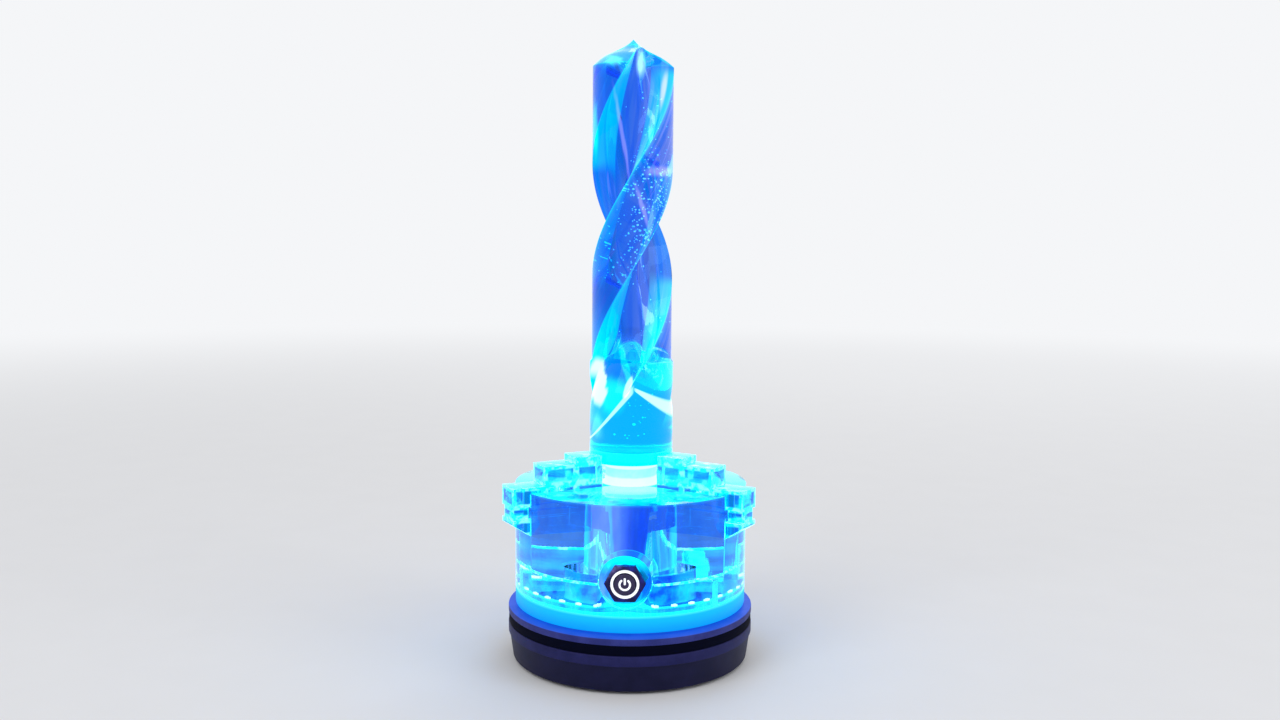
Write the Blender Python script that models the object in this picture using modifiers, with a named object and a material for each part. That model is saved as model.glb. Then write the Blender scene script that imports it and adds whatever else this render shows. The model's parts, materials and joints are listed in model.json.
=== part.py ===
"""Epoxy resin lamp: a clear lathe chuck that grips an upright twist drill, lit from below.

The lamp stands on its rubber pad at z = 0 with its axis on Z, and its power button faces -Y.
Units are metres. Every size is a named value below; the heights of the stack are worked out
from them, from the pad up to the drill's tip.
"""
import math

import bmesh
import bpy
from mathutils import Matrix, Vector

# Fits, welds and fineness
GAP = 0.0003
INLAY_GAP = 0.0001
OVERRUN = 0.002
WELD = 0.00001
LARGE_SEGMENTS = 48
MEDIUM_SEGMENTS = 24
SMALL_SEGMENTS = 12

# Rubber pad, let into the bottom cover
PAD_MARGIN = 0.011
PAD_THICKNESS = 0.0021
PAD_EDGE = 0.0005
STAND_OFF = 0.0015

# Base body: a thick turned ring, open below for the cover
BASE_OVERHANG = 0.004
BASE_TAPER = 0.0025
BASE_WALL = 0.0135
BASE_HEIGHT = 0.0191
BASE_COLLAR = 0.0053
BASE_EDGE = 0.0006

# Bottom cover, its board posts and its screws
COVER_LIP = 0.003
COVER_THICKNESS = 0.003
COVER_INSET = 0.0003
POST_RADIUS = 0.0025
POST_HEIGHT = 0.0037
SCREW_SETBACK = 0.004
COVER_SCREW_COUNT = 4
BASE_SCREW_COUNT = 3

# Black band between the body and the top plate
BAND_HEIGHT = 0.0047
BAND_WIDTH = 0.0056
BAND_INSET = 0.0001

# Top plate: rim, hub below it and the low spigot that lifts the diffuser
PLATE_RIM = 0.0037
PLATE_EDGE = 0.0006
PLATE_WEB = 0.0038
SPIGOT_INSET = 0.003
SPIGOT_HEIGHT = 0.0012

# Opal diffuser disc
DISC_THICKNESS = 0.0084
DISC_EDGE = 0.0005

# Clear chuck body
CHUCK_RADIUS = 0.0625
CHUCK_HEIGHT = 0.0562
CHUCK_EDGE = 0.0008
BORE_RADIUS = 0.016
MOUTH_STEP = 0.001
MOUTH_DEPTH = 0.0063
CHUCK_WALL = 0.0115
RECESS_DEPTH = 0.0145
HUB_WALL = 0.0065

# Jaws: three stepped blocks in the chuck's guide slots
JAW_WIDTH = 0.015
JAW_WAIST = 0.009
JAW_OVERHANG = 0.0093
JAW_BLOCK_DEPTH = 0.007
JAW_WAIST_DEPTH = 0.0065
JAW_FOOT_DEPTH = 0.0085
JAW_TOE_HEIGHT = 0.006
JAW_TOE_RUN = 0.009
JAW_LOW_STEP = 0.0032
JAW_MIDDLE_STEP = 0.0132
JAW_HIGH_STEP = 0.0168
JAW_LOW_RUN = 0.0176
JAW_MIDDLE_RUN = 0.0179
JAW_NOSE = 0.003
JAW_POINT_DEGREES = 60
JAW_DIRECTIONS = {"jaw_left": -60, "jaw_right": 60, "jaw_back": 180}

# Twist drill
SHANK_RADIUS = 0.0224
SHANK_LENGTH = 0.054
SHANK_LIFT = 0.0118
SHANK_EDGE = 0.0012
RING_HEIGHT = 0.0069
RING_GROOVE = 0.0005
SHANK_STEP = 0.001
DRILL_LENGTH = 0.2233
POINT_HEIGHT = 0.0141
FLUTE_LEAD = 0.22
WEB_RADIUS = 0.005
RUN_OUT_START = 0.016
RUN_OUT_LENGTH = 0.056
LAND_CENTRE_HEIGHT = 0.1265
LAND_DEGREES = 82.6
LAND_SEGMENTS = 5
FLUTE_SEGMENTS = 8
FLUTE_ROWS = 36
POINT_SHARES = (0.97, 0.85, 0.6, 0.35, 0.15)
OGEE_SHARE = 0.07

# Light plug under the drill
PLUG_SHOULDER = 0.0028

# Screws: long ones hold the chuck and the base, short ones the cover
SCREW_RADIUS = 0.0019
HEAD_RADIUS = 0.0034
HEAD_HEIGHT = 0.0022
COVER_HEAD_HEIGHT = 0.0014
SCREW_POINT = 0.0007
SOCKET_FLATS = 0.003
SOCKET_DEPTH = 0.0008
CHUCK_SCREW_SETBACK = 0.0065
CHUCK_SCREW_GRIP = 0.0125
CHUCK_SCREW_DIRECTIONS = (50, 170, 290)
BASE_SCREW_GRIP = 0.004
COVER_SCREW_GRIP = 0.0055
COVER_SCREW_TURN = 45
BASE_SCREW_TURN = 90

# Power button, on its own axis: local +Z points out of the drum
BUTTON_RISE = 0.0174
INSERT_MARGIN = 0.00285
INSERT_LENGTH = 0.010
POCKET_ROOM = 0.004
SEAL_THICKNESS = 0.0008
HEX_FLATS = 0.0181
HEX_THICKNESS = 0.0036
HEX_CHAMFER = 0.0011
RING_MARGIN = 0.0019
RING_WIDTH = 0.00165
RING_THICKNESS = 0.0013
CAP_PROUD = 0.0003
CAP_HEIGHT = 0.0035
CAP_EDGE = 0.0002
BUTTON_TRAVEL = 0.0015
STEM_RADIUS = 0.0024
STEM_COLLAR_RADIUS = 0.004
STEM_COLLAR_HEIGHT = 0.001
STEM_END = 0.002
GUIDE_LENGTH = 0.0027
BARREL_MARGIN = 0.00105
BARREL_LENGTH = 0.0161
BARREL_SEAT = 0.0007
SWITCH_NUT_WALL = 0.00175
SWITCH_NUT_THICKNESS = 0.0026
CONTACT_INSET = 0.0008
CONTACT_LENGTH = 0.0042
CONTACT_NOSE = 0.003
TAB_WIDTH = 0.0028
TAB_THICKNESS = 0.0005
TAB_LENGTH = 0.0042
TAB_SPACING = 0.006

# Power symbol let into the cap
SYMBOL_MARGIN = 0.0019
SYMBOL_STROKE = 0.00125
SYMBOL_DEPTH = 0.0006
SYMBOL_OPENING_DEGREES = 80
SYMBOL_BAR = 0.00355
SYMBOL_BAR_RISE = 0.00025
SYMBOL_SEGMENTS = 16

# Lights: a ring of packages under the drum and one emitter under the bore
BOARD_THICKNESS = 0.0016
LIGHT_MARGIN = 0.001
LIGHT_RING_WIDTH = 0.0074
TAPE_THICKNESS = 0.0003
TAPE_MARGIN = 0.0007
PACKAGE_COUNT = 32
PACKAGE_SIZE = 0.004
PACKAGE_HEIGHT = 0.0012
STAR_MARGIN = 0.0035
EMITTER_RADIUS = 0.0045
EMITTER_BASE = 0.0008
EMITTER_DOME = 0.0022
DOME_SEGMENTS = 4

# Controller board in the base
BOARD_WIDTH = 0.046
BOARD_DEPTH = 0.032
BOARD_SETBACK = 0.0047
POST_INSET = 0.0045
CHIP_SIZE = 0.009
CHIP_HEIGHT = 0.0018
CAPACITOR_RADIUS = 0.004
CAPACITOR_HEIGHT = 0.0085
LED_TERMINAL_WIDTH = 0.03
POWER_TERMINAL_WIDTH = 0.011
TERMINAL_DEPTH = 0.007
TERMINAL_HEIGHT = 0.0075

# Power inlet at the back, on its own axis: local +Z points out of the base
INLET_RISE = 0.0064
INLET_SPOT_DEPTH = 0.0007
INLET_WALL = 0.0035
INLET_SPOT_MARGIN = 0.0016
INLET_POCKET_MARGIN = 0.0034
INLET_POCKET_ROOF = 0.0024
INLET_FLANGE_RADIUS = 0.0056
INLET_FLANGE_THICKNESS = 0.0015
INLET_SHOULDER = 0.0017
INLET_BARREL_LENGTH = 0.0105
INLET_TUBE_WALL = 0.00115
INLET_BORE_DEPTH = 0.0085
INLET_PIN_RADIUS = 0.00105
INLET_PIN_LENGTH = 0.0068
INLET_NUT_WALL = 0.00135
INLET_NUT_THICKNESS = 0.0022
INLET_TAB_LENGTH = 0.003
INLET_TAB_SPACING = 0.004

# Leads and the holes that they pass
LEAD_RADIUS = 0.0006
LEAD_STEP = 0.002
LEAD_BEND = 0.0016
CENTRE_RUN_SHARES = (0.9, 0.5, 0.12)
SWITCH_HOLE_RADIUS = 0.0032
SWITCH_HOLE_SETBACK = 0.0041
LEAD_HOLE_RADIUS = 0.0014
RING_LEAD_X = 0.012
INLET_LEAD_STRAIGHT = 0.013

# Heights of the stack, from the table up
COVER_BOTTOM = STAND_OFF + COVER_INSET
COVER_TOP = COVER_BOTTOM + COVER_THICKNESS
LEDGE = COVER_TOP + GAP
BODY_TOP = STAND_OFF + BASE_HEIGHT
BAND_BOTTOM = BODY_TOP + GAP
BAND_TOP = BAND_BOTTOM + BAND_HEIGHT
RIM_BOTTOM = BAND_TOP + GAP
RIM_TOP = RIM_BOTTOM + PLATE_RIM
SPIGOT_TOP = RIM_TOP + SPIGOT_HEIGHT
PLATE_UNDERSIDE = RIM_TOP - PLATE_WEB
DISC_BOTTOM = SPIGOT_TOP + GAP
DISC_TOP = DISC_BOTTOM + DISC_THICKNESS
CHUCK_BOTTOM = DISC_TOP + GAP
CHUCK_TOP = CHUCK_BOTTOM + CHUCK_HEIGHT
SHANK_BOTTOM = CHUCK_TOP + SHANK_LIFT
BUTTON_HEIGHT = CHUCK_BOTTOM + BUTTON_RISE
INLET_HEIGHT = COVER_TOP + INLET_RISE
INLET_POCKET_TOP = BODY_TOP - INLET_POCKET_ROOF

# Radii that neighbouring pieces share, from the chuck's outwards and inwards
BASE_RADIUS = CHUCK_RADIUS + BASE_OVERHANG
BASE_BOTTOM_RADIUS = BASE_RADIUS - BASE_TAPER
BASE_INNER_RADIUS = BASE_RADIUS - BASE_WALL
COVER_RADIUS = BASE_BOTTOM_RADIUS - COVER_LIP
PAD_RADIUS = COVER_RADIUS - PAD_MARGIN
SCREW_CIRCLE = BASE_INNER_RADIUS + SCREW_SETBACK
SPIGOT_RADIUS = CHUCK_RADIUS - SPIGOT_INSET
CHUCK_SCREW_CIRCLE = CHUCK_RADIUS - CHUCK_SCREW_SETBACK
RECESS_RADIUS = CHUCK_RADIUS - CHUCK_WALL
LIGHT_RING_OUTER = RECESS_RADIUS - LIGHT_MARGIN
LIGHT_RING_INNER = LIGHT_RING_OUTER - LIGHT_RING_WIDTH
LIGHT_CIRCLE = LIGHT_RING_OUTER - LIGHT_RING_WIDTH / 2
MOUTH_RADIUS = BORE_RADIUS + MOUTH_STEP
HUB_RADIUS = BORE_RADIUS + HUB_WALL
STAR_RADIUS = BORE_RADIUS - STAR_MARGIN
PLUG_NECK_RADIUS = MOUTH_RADIUS - PLUG_SHOULDER
FLUTED_RADIUS = SHANK_RADIUS - SHANK_STEP
JAW_REACH = CHUCK_RADIUS + JAW_OVERHANG
JAW_MIDDLE_END = JAW_REACH - JAW_LOW_RUN
JAW_HIGH_END = JAW_MIDDLE_END - JAW_MIDDLE_RUN
HEX_CORNER = HEX_FLATS / 2 / math.cos(math.pi / 6)
INSERT_RADIUS = HEX_CORNER + INSERT_MARGIN
RING_OUTER_RADIUS = HEX_FLATS / 2 - RING_MARGIN
BARREL_RADIUS = HEX_FLATS / 2 - BARREL_MARGIN
CONTACT_RADIUS = BARREL_RADIUS - CONTACT_INSET
INLET_FACE = BASE_BOTTOM_RADIUS - INLET_SPOT_DEPTH
INLET_SPOT_RADIUS = INLET_FLANGE_RADIUS + INLET_SPOT_MARGIN
INLET_BARREL_RADIUS = INLET_FLANGE_RADIUS - INLET_SHOULDER
INLET_BORE_RADIUS = INLET_BARREL_RADIUS - INLET_TUBE_WALL

# Lengths along the axes, and the other places that neighbouring pieces share
HUB_PLATE_RADIUS = BASE_RADIUS - BAND_WIDTH - GAP
PLATE_HOLLOW_RADIUS = BASE_INNER_RADIUS
JAW_TIP = MOUTH_RADIUS + 2 * GAP
JAW_BOTTOM = JAW_BLOCK_DEPTH + JAW_WAIST_DEPTH + JAW_FOOT_DEPTH
INSERT_FACE = math.sqrt(CHUCK_RADIUS**2 - INSERT_RADIUS**2)
HEX_REAR = GAP + SEAL_THICKNESS + GAP
HEX_FRONT = HEX_REAR + HEX_THICKNESS
CAP_FRONT = HEX_FRONT + CAP_PROUD
CAP_REAR = CAP_FRONT - CAP_HEIGHT
CAP_RADIUS = RING_OUTER_RADIUS - RING_WIDTH - GAP
CAP_BORE_RADIUS = CAP_RADIUS + GAP
SYMBOL_RADIUS = CAP_RADIUS - SYMBOL_MARGIN
GUIDE_TOP = CAP_REAR - BUTTON_TRAVEL - GAP
GUIDE_BOTTOM = GUIDE_TOP - GUIDE_LENGTH
COLLAR_TOP = GUIDE_BOTTOM - GAP
STEM_TIP = COLLAR_TOP - STEM_COLLAR_HEIGHT - STEM_END
BARREL_FRONT = HEX_REAR + BARREL_SEAT
BARREL_REAR = BARREL_FRONT - BARREL_LENGTH
CONTACT_FRONT = BARREL_REAR - GAP
CONTACT_REAR = CONTACT_FRONT - CONTACT_LENGTH
TAB_END = CONTACT_REAR - GAP - TAB_LENGTH
TAB_END_Y = -INSERT_FACE - TAB_END
SWITCH_HOLE_Y = TAB_END_Y + SWITCH_HOLE_SETBACK
BOARD_BOTTOM = COVER_TOP + POST_HEIGHT + GAP
BOARD_TOP = BOARD_BOTTOM + BOARD_THICKNESS
PARTS_BOTTOM = BOARD_TOP + GAP
TERMINAL_TOP = PARTS_BOTTOM + TERMINAL_HEIGHT
LIGHT_BOTTOM = DISC_TOP + GAP
LIGHT_BOARD_TOP = LIGHT_BOTTOM + BOARD_THICKNESS
BOARD_FRONT_Y = BOARD_SETBACK - math.sqrt(BASE_INNER_RADIUS**2 - (BOARD_WIDTH / 2)**2)
BOARD_CENTRE_Y = BOARD_FRONT_Y + BOARD_DEPTH / 2
LED_TERMINAL_Y = BOARD_CENTRE_Y - BOARD_DEPTH / 2 + TERMINAL_DEPTH / 2 + GAP
POWER_TERMINAL_Y = BOARD_CENTRE_Y + BOARD_DEPTH / 2 - TERMINAL_DEPTH / 2 - GAP
RING_LEAD_Y = -math.sqrt(LIGHT_CIRCLE**2 - RING_LEAD_X**2)
INLET_BARREL_END = GAP - INLET_BARREL_LENGTH
INLET_TAB_END = INLET_FACE + INLET_BARREL_END - GAP - INLET_TAB_LENGTH

# Finishes: colour, roughness, metallic, alpha
FINISHES = {
    "clear_resin": ((0.55, 0.9, 1.0), 0.08, 0.0, 0.45),
    "jaw_resin": ((0.35, 0.95, 1.0), 0.1, 0.0, 0.6),
    "frosted_plug": ((0.85, 1.0, 1.0), 0.4, 0.0, 1.0),
    "opal_disc": ((0.0, 0.42, 1.0), 0.35, 0.0, 1.0),
    "grey_shell": ((0.075, 0.07, 0.075), 0.55, 0.0, 1.0),
    "black_rubber": ((0.012, 0.012, 0.014), 0.7, 0.0, 1.0),
    "black_metal": ((0.02, 0.018, 0.025), 0.35, 0.6, 1.0),
    "button_black": ((0.03, 0.02, 0.05), 0.3, 0.0, 1.0),
    "lit_white": ((0.95, 0.95, 1.0), 0.4, 0.0, 1.0),
    "nickel": ((0.62, 0.62, 0.6), 0.28, 1.0, 1.0),
    "steel": ((0.42, 0.42, 0.44), 0.35, 1.0, 1.0),
    "board_white": ((0.8, 0.82, 0.82), 0.5, 0.0, 1.0),
    "board_green": ((0.02, 0.16, 0.07), 0.45, 0.0, 1.0),
    "package_white": ((0.9, 0.97, 1.0), 0.35, 0.0, 1.0),
    "chip_black": ((0.02, 0.02, 0.02), 0.45, 0.0, 1.0),
    "terminal_green": ((0.03, 0.3, 0.12), 0.4, 0.0, 1.0),
    "inlet_black": ((0.015, 0.015, 0.015), 0.4, 0.0, 1.0),
    "lead_red": ((0.55, 0.02, 0.02), 0.45, 0.0, 1.0),
    "lead_black": ((0.02, 0.02, 0.02), 0.45, 0.0, 1.0),
}


def start_scene():
    """Clear the scene and return the collections for the parts and for the cutters."""
    for item in list(bpy.data.objects):
        bpy.data.objects.remove(item)
    collections = []
    for name in ("epoxy_resin_lamp", "cutters"):
        collection = bpy.data.collections.new(name)
        bpy.context.scene.collection.children.link(collection)
        collections.append(collection)
    return collections


PARTS, CUTTERS = start_scene()


def finish(name):
    """Return the named finish's material, made on first use."""
    if name in bpy.data.materials:
        return bpy.data.materials[name]
    colour, roughness, metallic, alpha = FINISHES[name]
    material = bpy.data.materials.new(name)
    material.use_nodes = True
    shader = material.node_tree.nodes["Principled BSDF"]
    shader.inputs["Base Color"].default_value = (*colour, 1.0)
    shader.inputs["Roughness"].default_value = roughness
    shader.inputs["Metallic"].default_value = metallic
    shader.inputs["Alpha"].default_value = alpha
    return material


# Meshes


def turned_profile_mesh(name, profile, segments):
    """Return a chain of edges through (radius, height) points, for a Screw modifier of so many steps.

    It starts half a step round, so that no edge runs along X or Y, where holes are centred.
    """
    mesh = bpy.data.meshes.new(name)
    start = math.pi / segments
    points = [(radius * math.cos(start), radius * math.sin(start), height) for radius, height in profile]
    edges = [(i, i + 1) for i in range(len(points) - 1)]
    if all(radius > 0 for radius, height in profile):
        edges.append((len(points) - 1, 0))
    mesh.from_pydata(points, edges, [])
    return mesh


def block_mesh(name, size, centre):
    """Return a box of the given size about a centre."""
    mesh = bpy.data.meshes.new(name)
    shape = bmesh.new()
    bmesh.ops.create_cube(shape, size=1)
    bmesh.ops.scale(shape, vec=Vector(size), verts=shape.verts)
    bmesh.ops.translate(shape, vec=Vector(centre), verts=shape.verts)
    shape.to_mesh(mesh)
    shape.free()
    return mesh


def rod_mesh(name, radius, bottom, top, segments, x=0, y=0):
    """Return a round bar along Z."""
    mesh = bpy.data.meshes.new(name)
    shape = bmesh.new()
    bmesh.ops.create_cone(shape, cap_ends=True, segments=segments, radius1=radius, radius2=radius,
                          depth=top - bottom)
    bmesh.ops.translate(shape, vec=Vector((x, y, (top + bottom) / 2)), verts=shape.verts)
    shape.to_mesh(mesh)
    shape.free()
    return mesh


def plate_mesh(name, outline, bottom, top):
    """Return a flat outline in XY, filled and extruded from bottom to top."""
    curve = bpy.data.curves.new(name, "CURVE")
    curve.dimensions = "2D"
    curve.fill_mode = "BOTH"
    curve.extrude = (top - bottom) / 2
    line = curve.splines.new("POLY")
    line.points.add(len(outline) - 1)
    for point, (x, y) in zip(line.points, outline):
        point.co = (x, y, 0, 1)
    line.use_cyclic_u = True
    mesh = mesh_from_curve(curve)
    mesh.transform(Matrix.Translation((0, 0, (top + bottom) / 2)))
    return mesh


def mesh_from_curve(curve):
    """Evaluate a curve, weld its caps and return the closed mesh."""
    holder = bpy.data.objects.new(curve.name, curve)
    CUTTERS.objects.link(holder)
    mesh = evaluated_mesh(holder)
    bpy.data.objects.remove(holder)
    shape = bmesh.new()
    shape.from_mesh(mesh)
    bmesh.ops.remove_doubles(shape, verts=shape.verts, dist=WELD)
    bmesh.ops.recalc_face_normals(shape, faces=shape.faces)
    shape.to_mesh(mesh)
    shape.free()
    return mesh


def evaluated_mesh(item):
    """Return a copy of an object's mesh with its modifiers worked in."""
    bpy.context.view_layer.update()
    graph = bpy.context.evaluated_depsgraph_get()
    return bpy.data.meshes.new_from_object(item.evaluated_get(graph), depsgraph=graph)


# Objects


def place(name, mesh, finish_name, parent=None, smooth=True):
    """Put a mesh in the parts collection under its own name and finish."""
    item = bpy.data.objects.new(name, mesh)
    PARTS.objects.link(item)
    item.parent = parent
    mesh.materials.clear()
    mesh.materials.append(finish(finish_name))
    if smooth and mesh.polygons:
        mesh.shade_smooth()
        mesh.set_sharp_from_angle(angle=math.radians(35))
    return item


def turn(item, segments):
    """Turn an object's profile about Z."""
    screw = item.modifiers.new("turn", "SCREW")
    screw.axis = "Z"
    screw.steps = segments
    screw.render_steps = segments
    screw.use_merge_vertices = True
    screw.merge_threshold = WELD
    screw.use_smooth_shade = True


def turned(name, profile, finish_name, segments=LARGE_SEGMENTS, parent=None):
    """Make a turned piece from a profile that runs down its outer side."""
    item = place(name, turned_profile_mesh(name, profile, segments), finish_name, parent, smooth=False)
    turn(item, segments)
    return item


def cutter(name, mesh, parent=None):
    """Put a mesh in the cutters collection, hidden from renders."""
    item = bpy.data.objects.new(name, mesh)
    CUTTERS.objects.link(item)
    item.parent = parent
    item.hide_render = True
    item.display_type = "WIRE"
    return item


def turned_cutter(name, profile, segments, parent=None):
    """Put a turned shape in the cutters collection."""
    item = cutter(name, turned_profile_mesh(name, profile, segments), parent)
    turn(item, segments)
    return item


def combine(item, tool, operation):
    """Cut a tool from a piece, join it on, or keep what they share."""
    boolean = item.modifiers.new(tool.name, "BOOLEAN")
    boolean.operation = operation
    boolean.solver = "EXACT"
    boolean.object = tool


def cut(item, mesh, name, parent=None):
    """Cut a mesh from a piece."""
    combine(item, cutter(f"{item.name}_{name}", mesh, parent), "DIFFERENCE")


def join(item, mesh, name, parent=None):
    """Join a mesh onto a piece."""
    combine(item, cutter(f"{item.name}_{name}", mesh, parent), "UNION")


def cut_hole(item, name, x, y, bottom, top, radius=SCREW_RADIUS + GAP):
    """Cut an upright round hole, a screw's if no radius is given."""
    cut(item, rod_mesh(name, radius, bottom, top, SMALL_SEGMENTS, x, y), name)


def cut_screw_seat(item, number, x, y, bottom, sink_top, top):
    """Cut an upright screw hole with a sink for the head below it."""
    profile = [
        (0, top),
        (SCREW_RADIUS + GAP, top),
        (SCREW_RADIUS + GAP, sink_top),
        (HEAD_RADIUS + GAP, sink_top),
        (HEAD_RADIUS + GAP, bottom),
        (0, bottom),
    ]
    seat = turned_cutter(f"{item.name}_screw_seat_{number}", profile, SMALL_SEGMENTS)
    seat.location = (x, y, 0)
    combine(item, seat, "DIFFERENCE")


def axis_empty(name, location, rotation):
    """Return an empty that carries pieces on an axis of their own."""
    empty = bpy.data.objects.new(name, None)
    PARTS.objects.link(empty)
    empty.location = location
    empty.rotation_euler = rotation
    return empty


# Outlines and places


def on_circle(radius, degrees):
    """Return x and y at an angle that is counted from the front towards +X."""
    angle = math.radians(degrees)
    return radius * math.sin(angle), -radius * math.cos(angle)


def ring_profile(inner, outer, bottom, top):
    """Return the section of a plain ring."""
    return [(inner, top), (outer, top), (outer, bottom), (inner, bottom)]


def disc_profile(radius, bottom, top):
    """Return the section of a plain disc or rod."""
    return [(0, top), (radius, top), (radius, bottom), (0, bottom)]


def hexagon(flats):
    """Return a hexagon with corners at +X and -X from its size across flats."""
    radius = flats / 2 / math.cos(math.pi / 6)
    return [(radius * math.cos(k * math.pi / 3), radius * math.sin(k * math.pi / 3)) for k in range(6)]


def spread(count, start=0):
    """Return equally spaced angles in degrees."""
    return [start + k * 360 / count for k in range(count)]


# Axes of what slides and of what lies along Y: a jaw's +X and the others' +Z run outwards

JAW_AXES = {name: axis_empty(f"{name}_slide", (0, 0, CHUCK_TOP), (0, 0, math.radians(degrees - 90)))
            for name, degrees in JAW_DIRECTIONS.items()}
BUTTON_AXIS = axis_empty("button_axis", (0, -INSERT_FACE, BUTTON_HEIGHT), (math.pi / 2, 0, 0))
INLET_AXIS = axis_empty("inlet_axis", (0, INLET_FACE, INLET_HEIGHT), (-math.pi / 2, 0, 0))


# Pad, cover and base


def make_pad():
    """Rubber pad that the lamp stands on."""
    profile = [
        (0, PAD_THICKNESS),
        (PAD_RADIUS, PAD_THICKNESS),
        (PAD_RADIUS, PAD_EDGE),
        (PAD_RADIUS - PAD_EDGE, 0),
        (0, 0),
    ]
    turned("rubber_pad", profile, "black_rubber")


def post_places():
    """Return where the board's four posts stand."""
    x = BOARD_WIDTH / 2 - POST_INSET
    y = BOARD_DEPTH / 2 - POST_INSET
    return [(i * x, BOARD_CENTRE_Y + j * y) for i in (-1, 1) for j in (-1, 1)]


def make_cover():
    """Bottom cover with a seat for the pad, screw holes and four board posts."""
    profile = [
        (0, COVER_TOP),
        (COVER_RADIUS, COVER_TOP),
        (COVER_RADIUS, COVER_BOTTOM),
        (PAD_RADIUS + GAP, COVER_BOTTOM),
        (PAD_RADIUS + GAP, PAD_THICKNESS + GAP),
        (0, PAD_THICKNESS + GAP),
    ]
    cover = turned("bottom_cover", profile, "grey_shell")
    for number, (x, y) in enumerate(post_places(), 1):
        post = rod_mesh("post", POST_RADIUS, COVER_TOP - GAP, COVER_TOP + POST_HEIGHT, SMALL_SEGMENTS, x, y)
        join(cover, post, f"post_{number}")
    for number, degrees in enumerate(spread(COVER_SCREW_COUNT, COVER_SCREW_TURN), 1):
        x, y = on_circle(SCREW_CIRCLE, degrees)
        cut_screw_seat(cover, number, x, y, COVER_BOTTOM - OVERRUN, COVER_BOTTOM + COVER_HEAD_HEIGHT + GAP,
                       COVER_TOP + OVERRUN)


def make_base_body():
    """Thick turned ring with a tapered lower part, a cover seat and screw holes."""
    collar_bottom = BODY_TOP - BASE_COLLAR
    profile = [
        (BASE_INNER_RADIUS, BODY_TOP),
        (BASE_RADIUS - BASE_EDGE, BODY_TOP),
        (BASE_RADIUS, BODY_TOP - BASE_EDGE),
        (BASE_RADIUS, collar_bottom),
        (BASE_BOTTOM_RADIUS, STAND_OFF + BASE_EDGE),
        (BASE_BOTTOM_RADIUS - BASE_EDGE, STAND_OFF),
        (COVER_RADIUS + GAP, STAND_OFF),
        (COVER_RADIUS + GAP, LEDGE),
        (BASE_INNER_RADIUS, LEDGE),
    ]
    body = turned("base_body", profile, "grey_shell")
    for number, degrees in enumerate(spread(BASE_SCREW_COUNT, BASE_SCREW_TURN), 1):
        x, y = on_circle(SCREW_CIRCLE, degrees)
        cut_screw_seat(body, number, x, y, LEDGE - OVERRUN, LEDGE + HEAD_HEIGHT + 2 * GAP, BODY_TOP + OVERRUN)
    for number, degrees in enumerate(spread(COVER_SCREW_COUNT, COVER_SCREW_TURN), 1):
        x, y = on_circle(SCREW_CIRCLE, degrees)
        cut_hole(body, f"cover_hole_{number}", x, y, LEDGE - OVERRUN, COVER_TOP + COVER_SCREW_GRIP + GAP)
    pocket_rear = INLET_FACE - INLET_WALL
    pocket_depth = pocket_rear - BASE_INNER_RADIUS / 2
    pocket_width = 2 * (INLET_FLANGE_RADIUS + INLET_POCKET_MARGIN)
    pocket = block_mesh("pocket", (pocket_width, pocket_depth, INLET_POCKET_TOP - LEDGE + OVERRUN),
                        (0, pocket_rear - pocket_depth / 2, (INLET_POCKET_TOP + LEDGE - OVERRUN) / 2))
    cut(body, pocket, "inlet_pocket")
    spot = rod_mesh("spot", INLET_SPOT_RADIUS, 0, BASE_RADIUS - INLET_FACE + OVERRUN, MEDIUM_SEGMENTS)
    cut(body, spot, "inlet_spot", INLET_AXIS)
    bore = rod_mesh("bore", INLET_BARREL_RADIUS + GAP, -INLET_WALL - OVERRUN, OVERRUN, MEDIUM_SEGMENTS)
    cut(body, bore, "inlet_bore", INLET_AXIS)


def make_band():
    """Black band, flush between the body and the top plate."""
    profile = ring_profile(HUB_PLATE_RADIUS + GAP, BASE_RADIUS - BAND_INSET, BAND_BOTTOM, BAND_TOP)
    turned("black_band", profile, "black_rubber")


def lead_holes(item, bottom, top):
    """Cut the three holes that the leads pass, alike in the plate and in the disc."""
    places = {
        "switch_hole": (SWITCH_HOLE_RADIUS, 0, SWITCH_HOLE_Y),
        "ring_hole": (LEAD_HOLE_RADIUS, RING_LEAD_X, RING_LEAD_Y),
        "centre_hole": (LEAD_HOLE_RADIUS, 0, 0),
    }
    for name, (radius, x, y) in places.items():
        cut_hole(item, name, x, y, bottom - OVERRUN, top + OVERRUN, radius)


def make_top_plate():
    """Top plate: rim above the band, hub inside it and a hollow underside."""
    profile = [
        (0, SPIGOT_TOP),
        (SPIGOT_RADIUS, SPIGOT_TOP),
        (SPIGOT_RADIUS, RIM_TOP),
        (BASE_RADIUS - PLATE_EDGE, RIM_TOP),
        (BASE_RADIUS, RIM_TOP - PLATE_EDGE),
        (BASE_RADIUS, RIM_BOTTOM),
        (HUB_PLATE_RADIUS, RIM_BOTTOM),
        (HUB_PLATE_RADIUS, BAND_BOTTOM),
        (PLATE_HOLLOW_RADIUS, BAND_BOTTOM),
        (PLATE_HOLLOW_RADIUS, PLATE_UNDERSIDE),
        (0, PLATE_UNDERSIDE),
    ]
    plate = turned("top_plate", profile, "grey_shell")
    plate_seat = BAND_BOTTOM + HEAD_HEIGHT + 2 * GAP
    for number, degrees in enumerate(CHUCK_SCREW_DIRECTIONS, 1):
        x, y = on_circle(CHUCK_SCREW_CIRCLE, degrees)
        cut_screw_seat(plate, number, x, y, BAND_BOTTOM - OVERRUN, plate_seat, SPIGOT_TOP + OVERRUN)
    for number, degrees in enumerate(spread(BASE_SCREW_COUNT, BASE_SCREW_TURN), 1):
        x, y = on_circle(SCREW_CIRCLE, degrees)
        hole_end = BAND_BOTTOM + BASE_SCREW_GRIP + GAP
        cut_hole(plate, f"base_hole_{number}", x, y, BAND_BOTTOM - OVERRUN, hole_end)
    lead_holes(plate, PLATE_UNDERSIDE, SPIGOT_TOP)


# Screws


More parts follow.
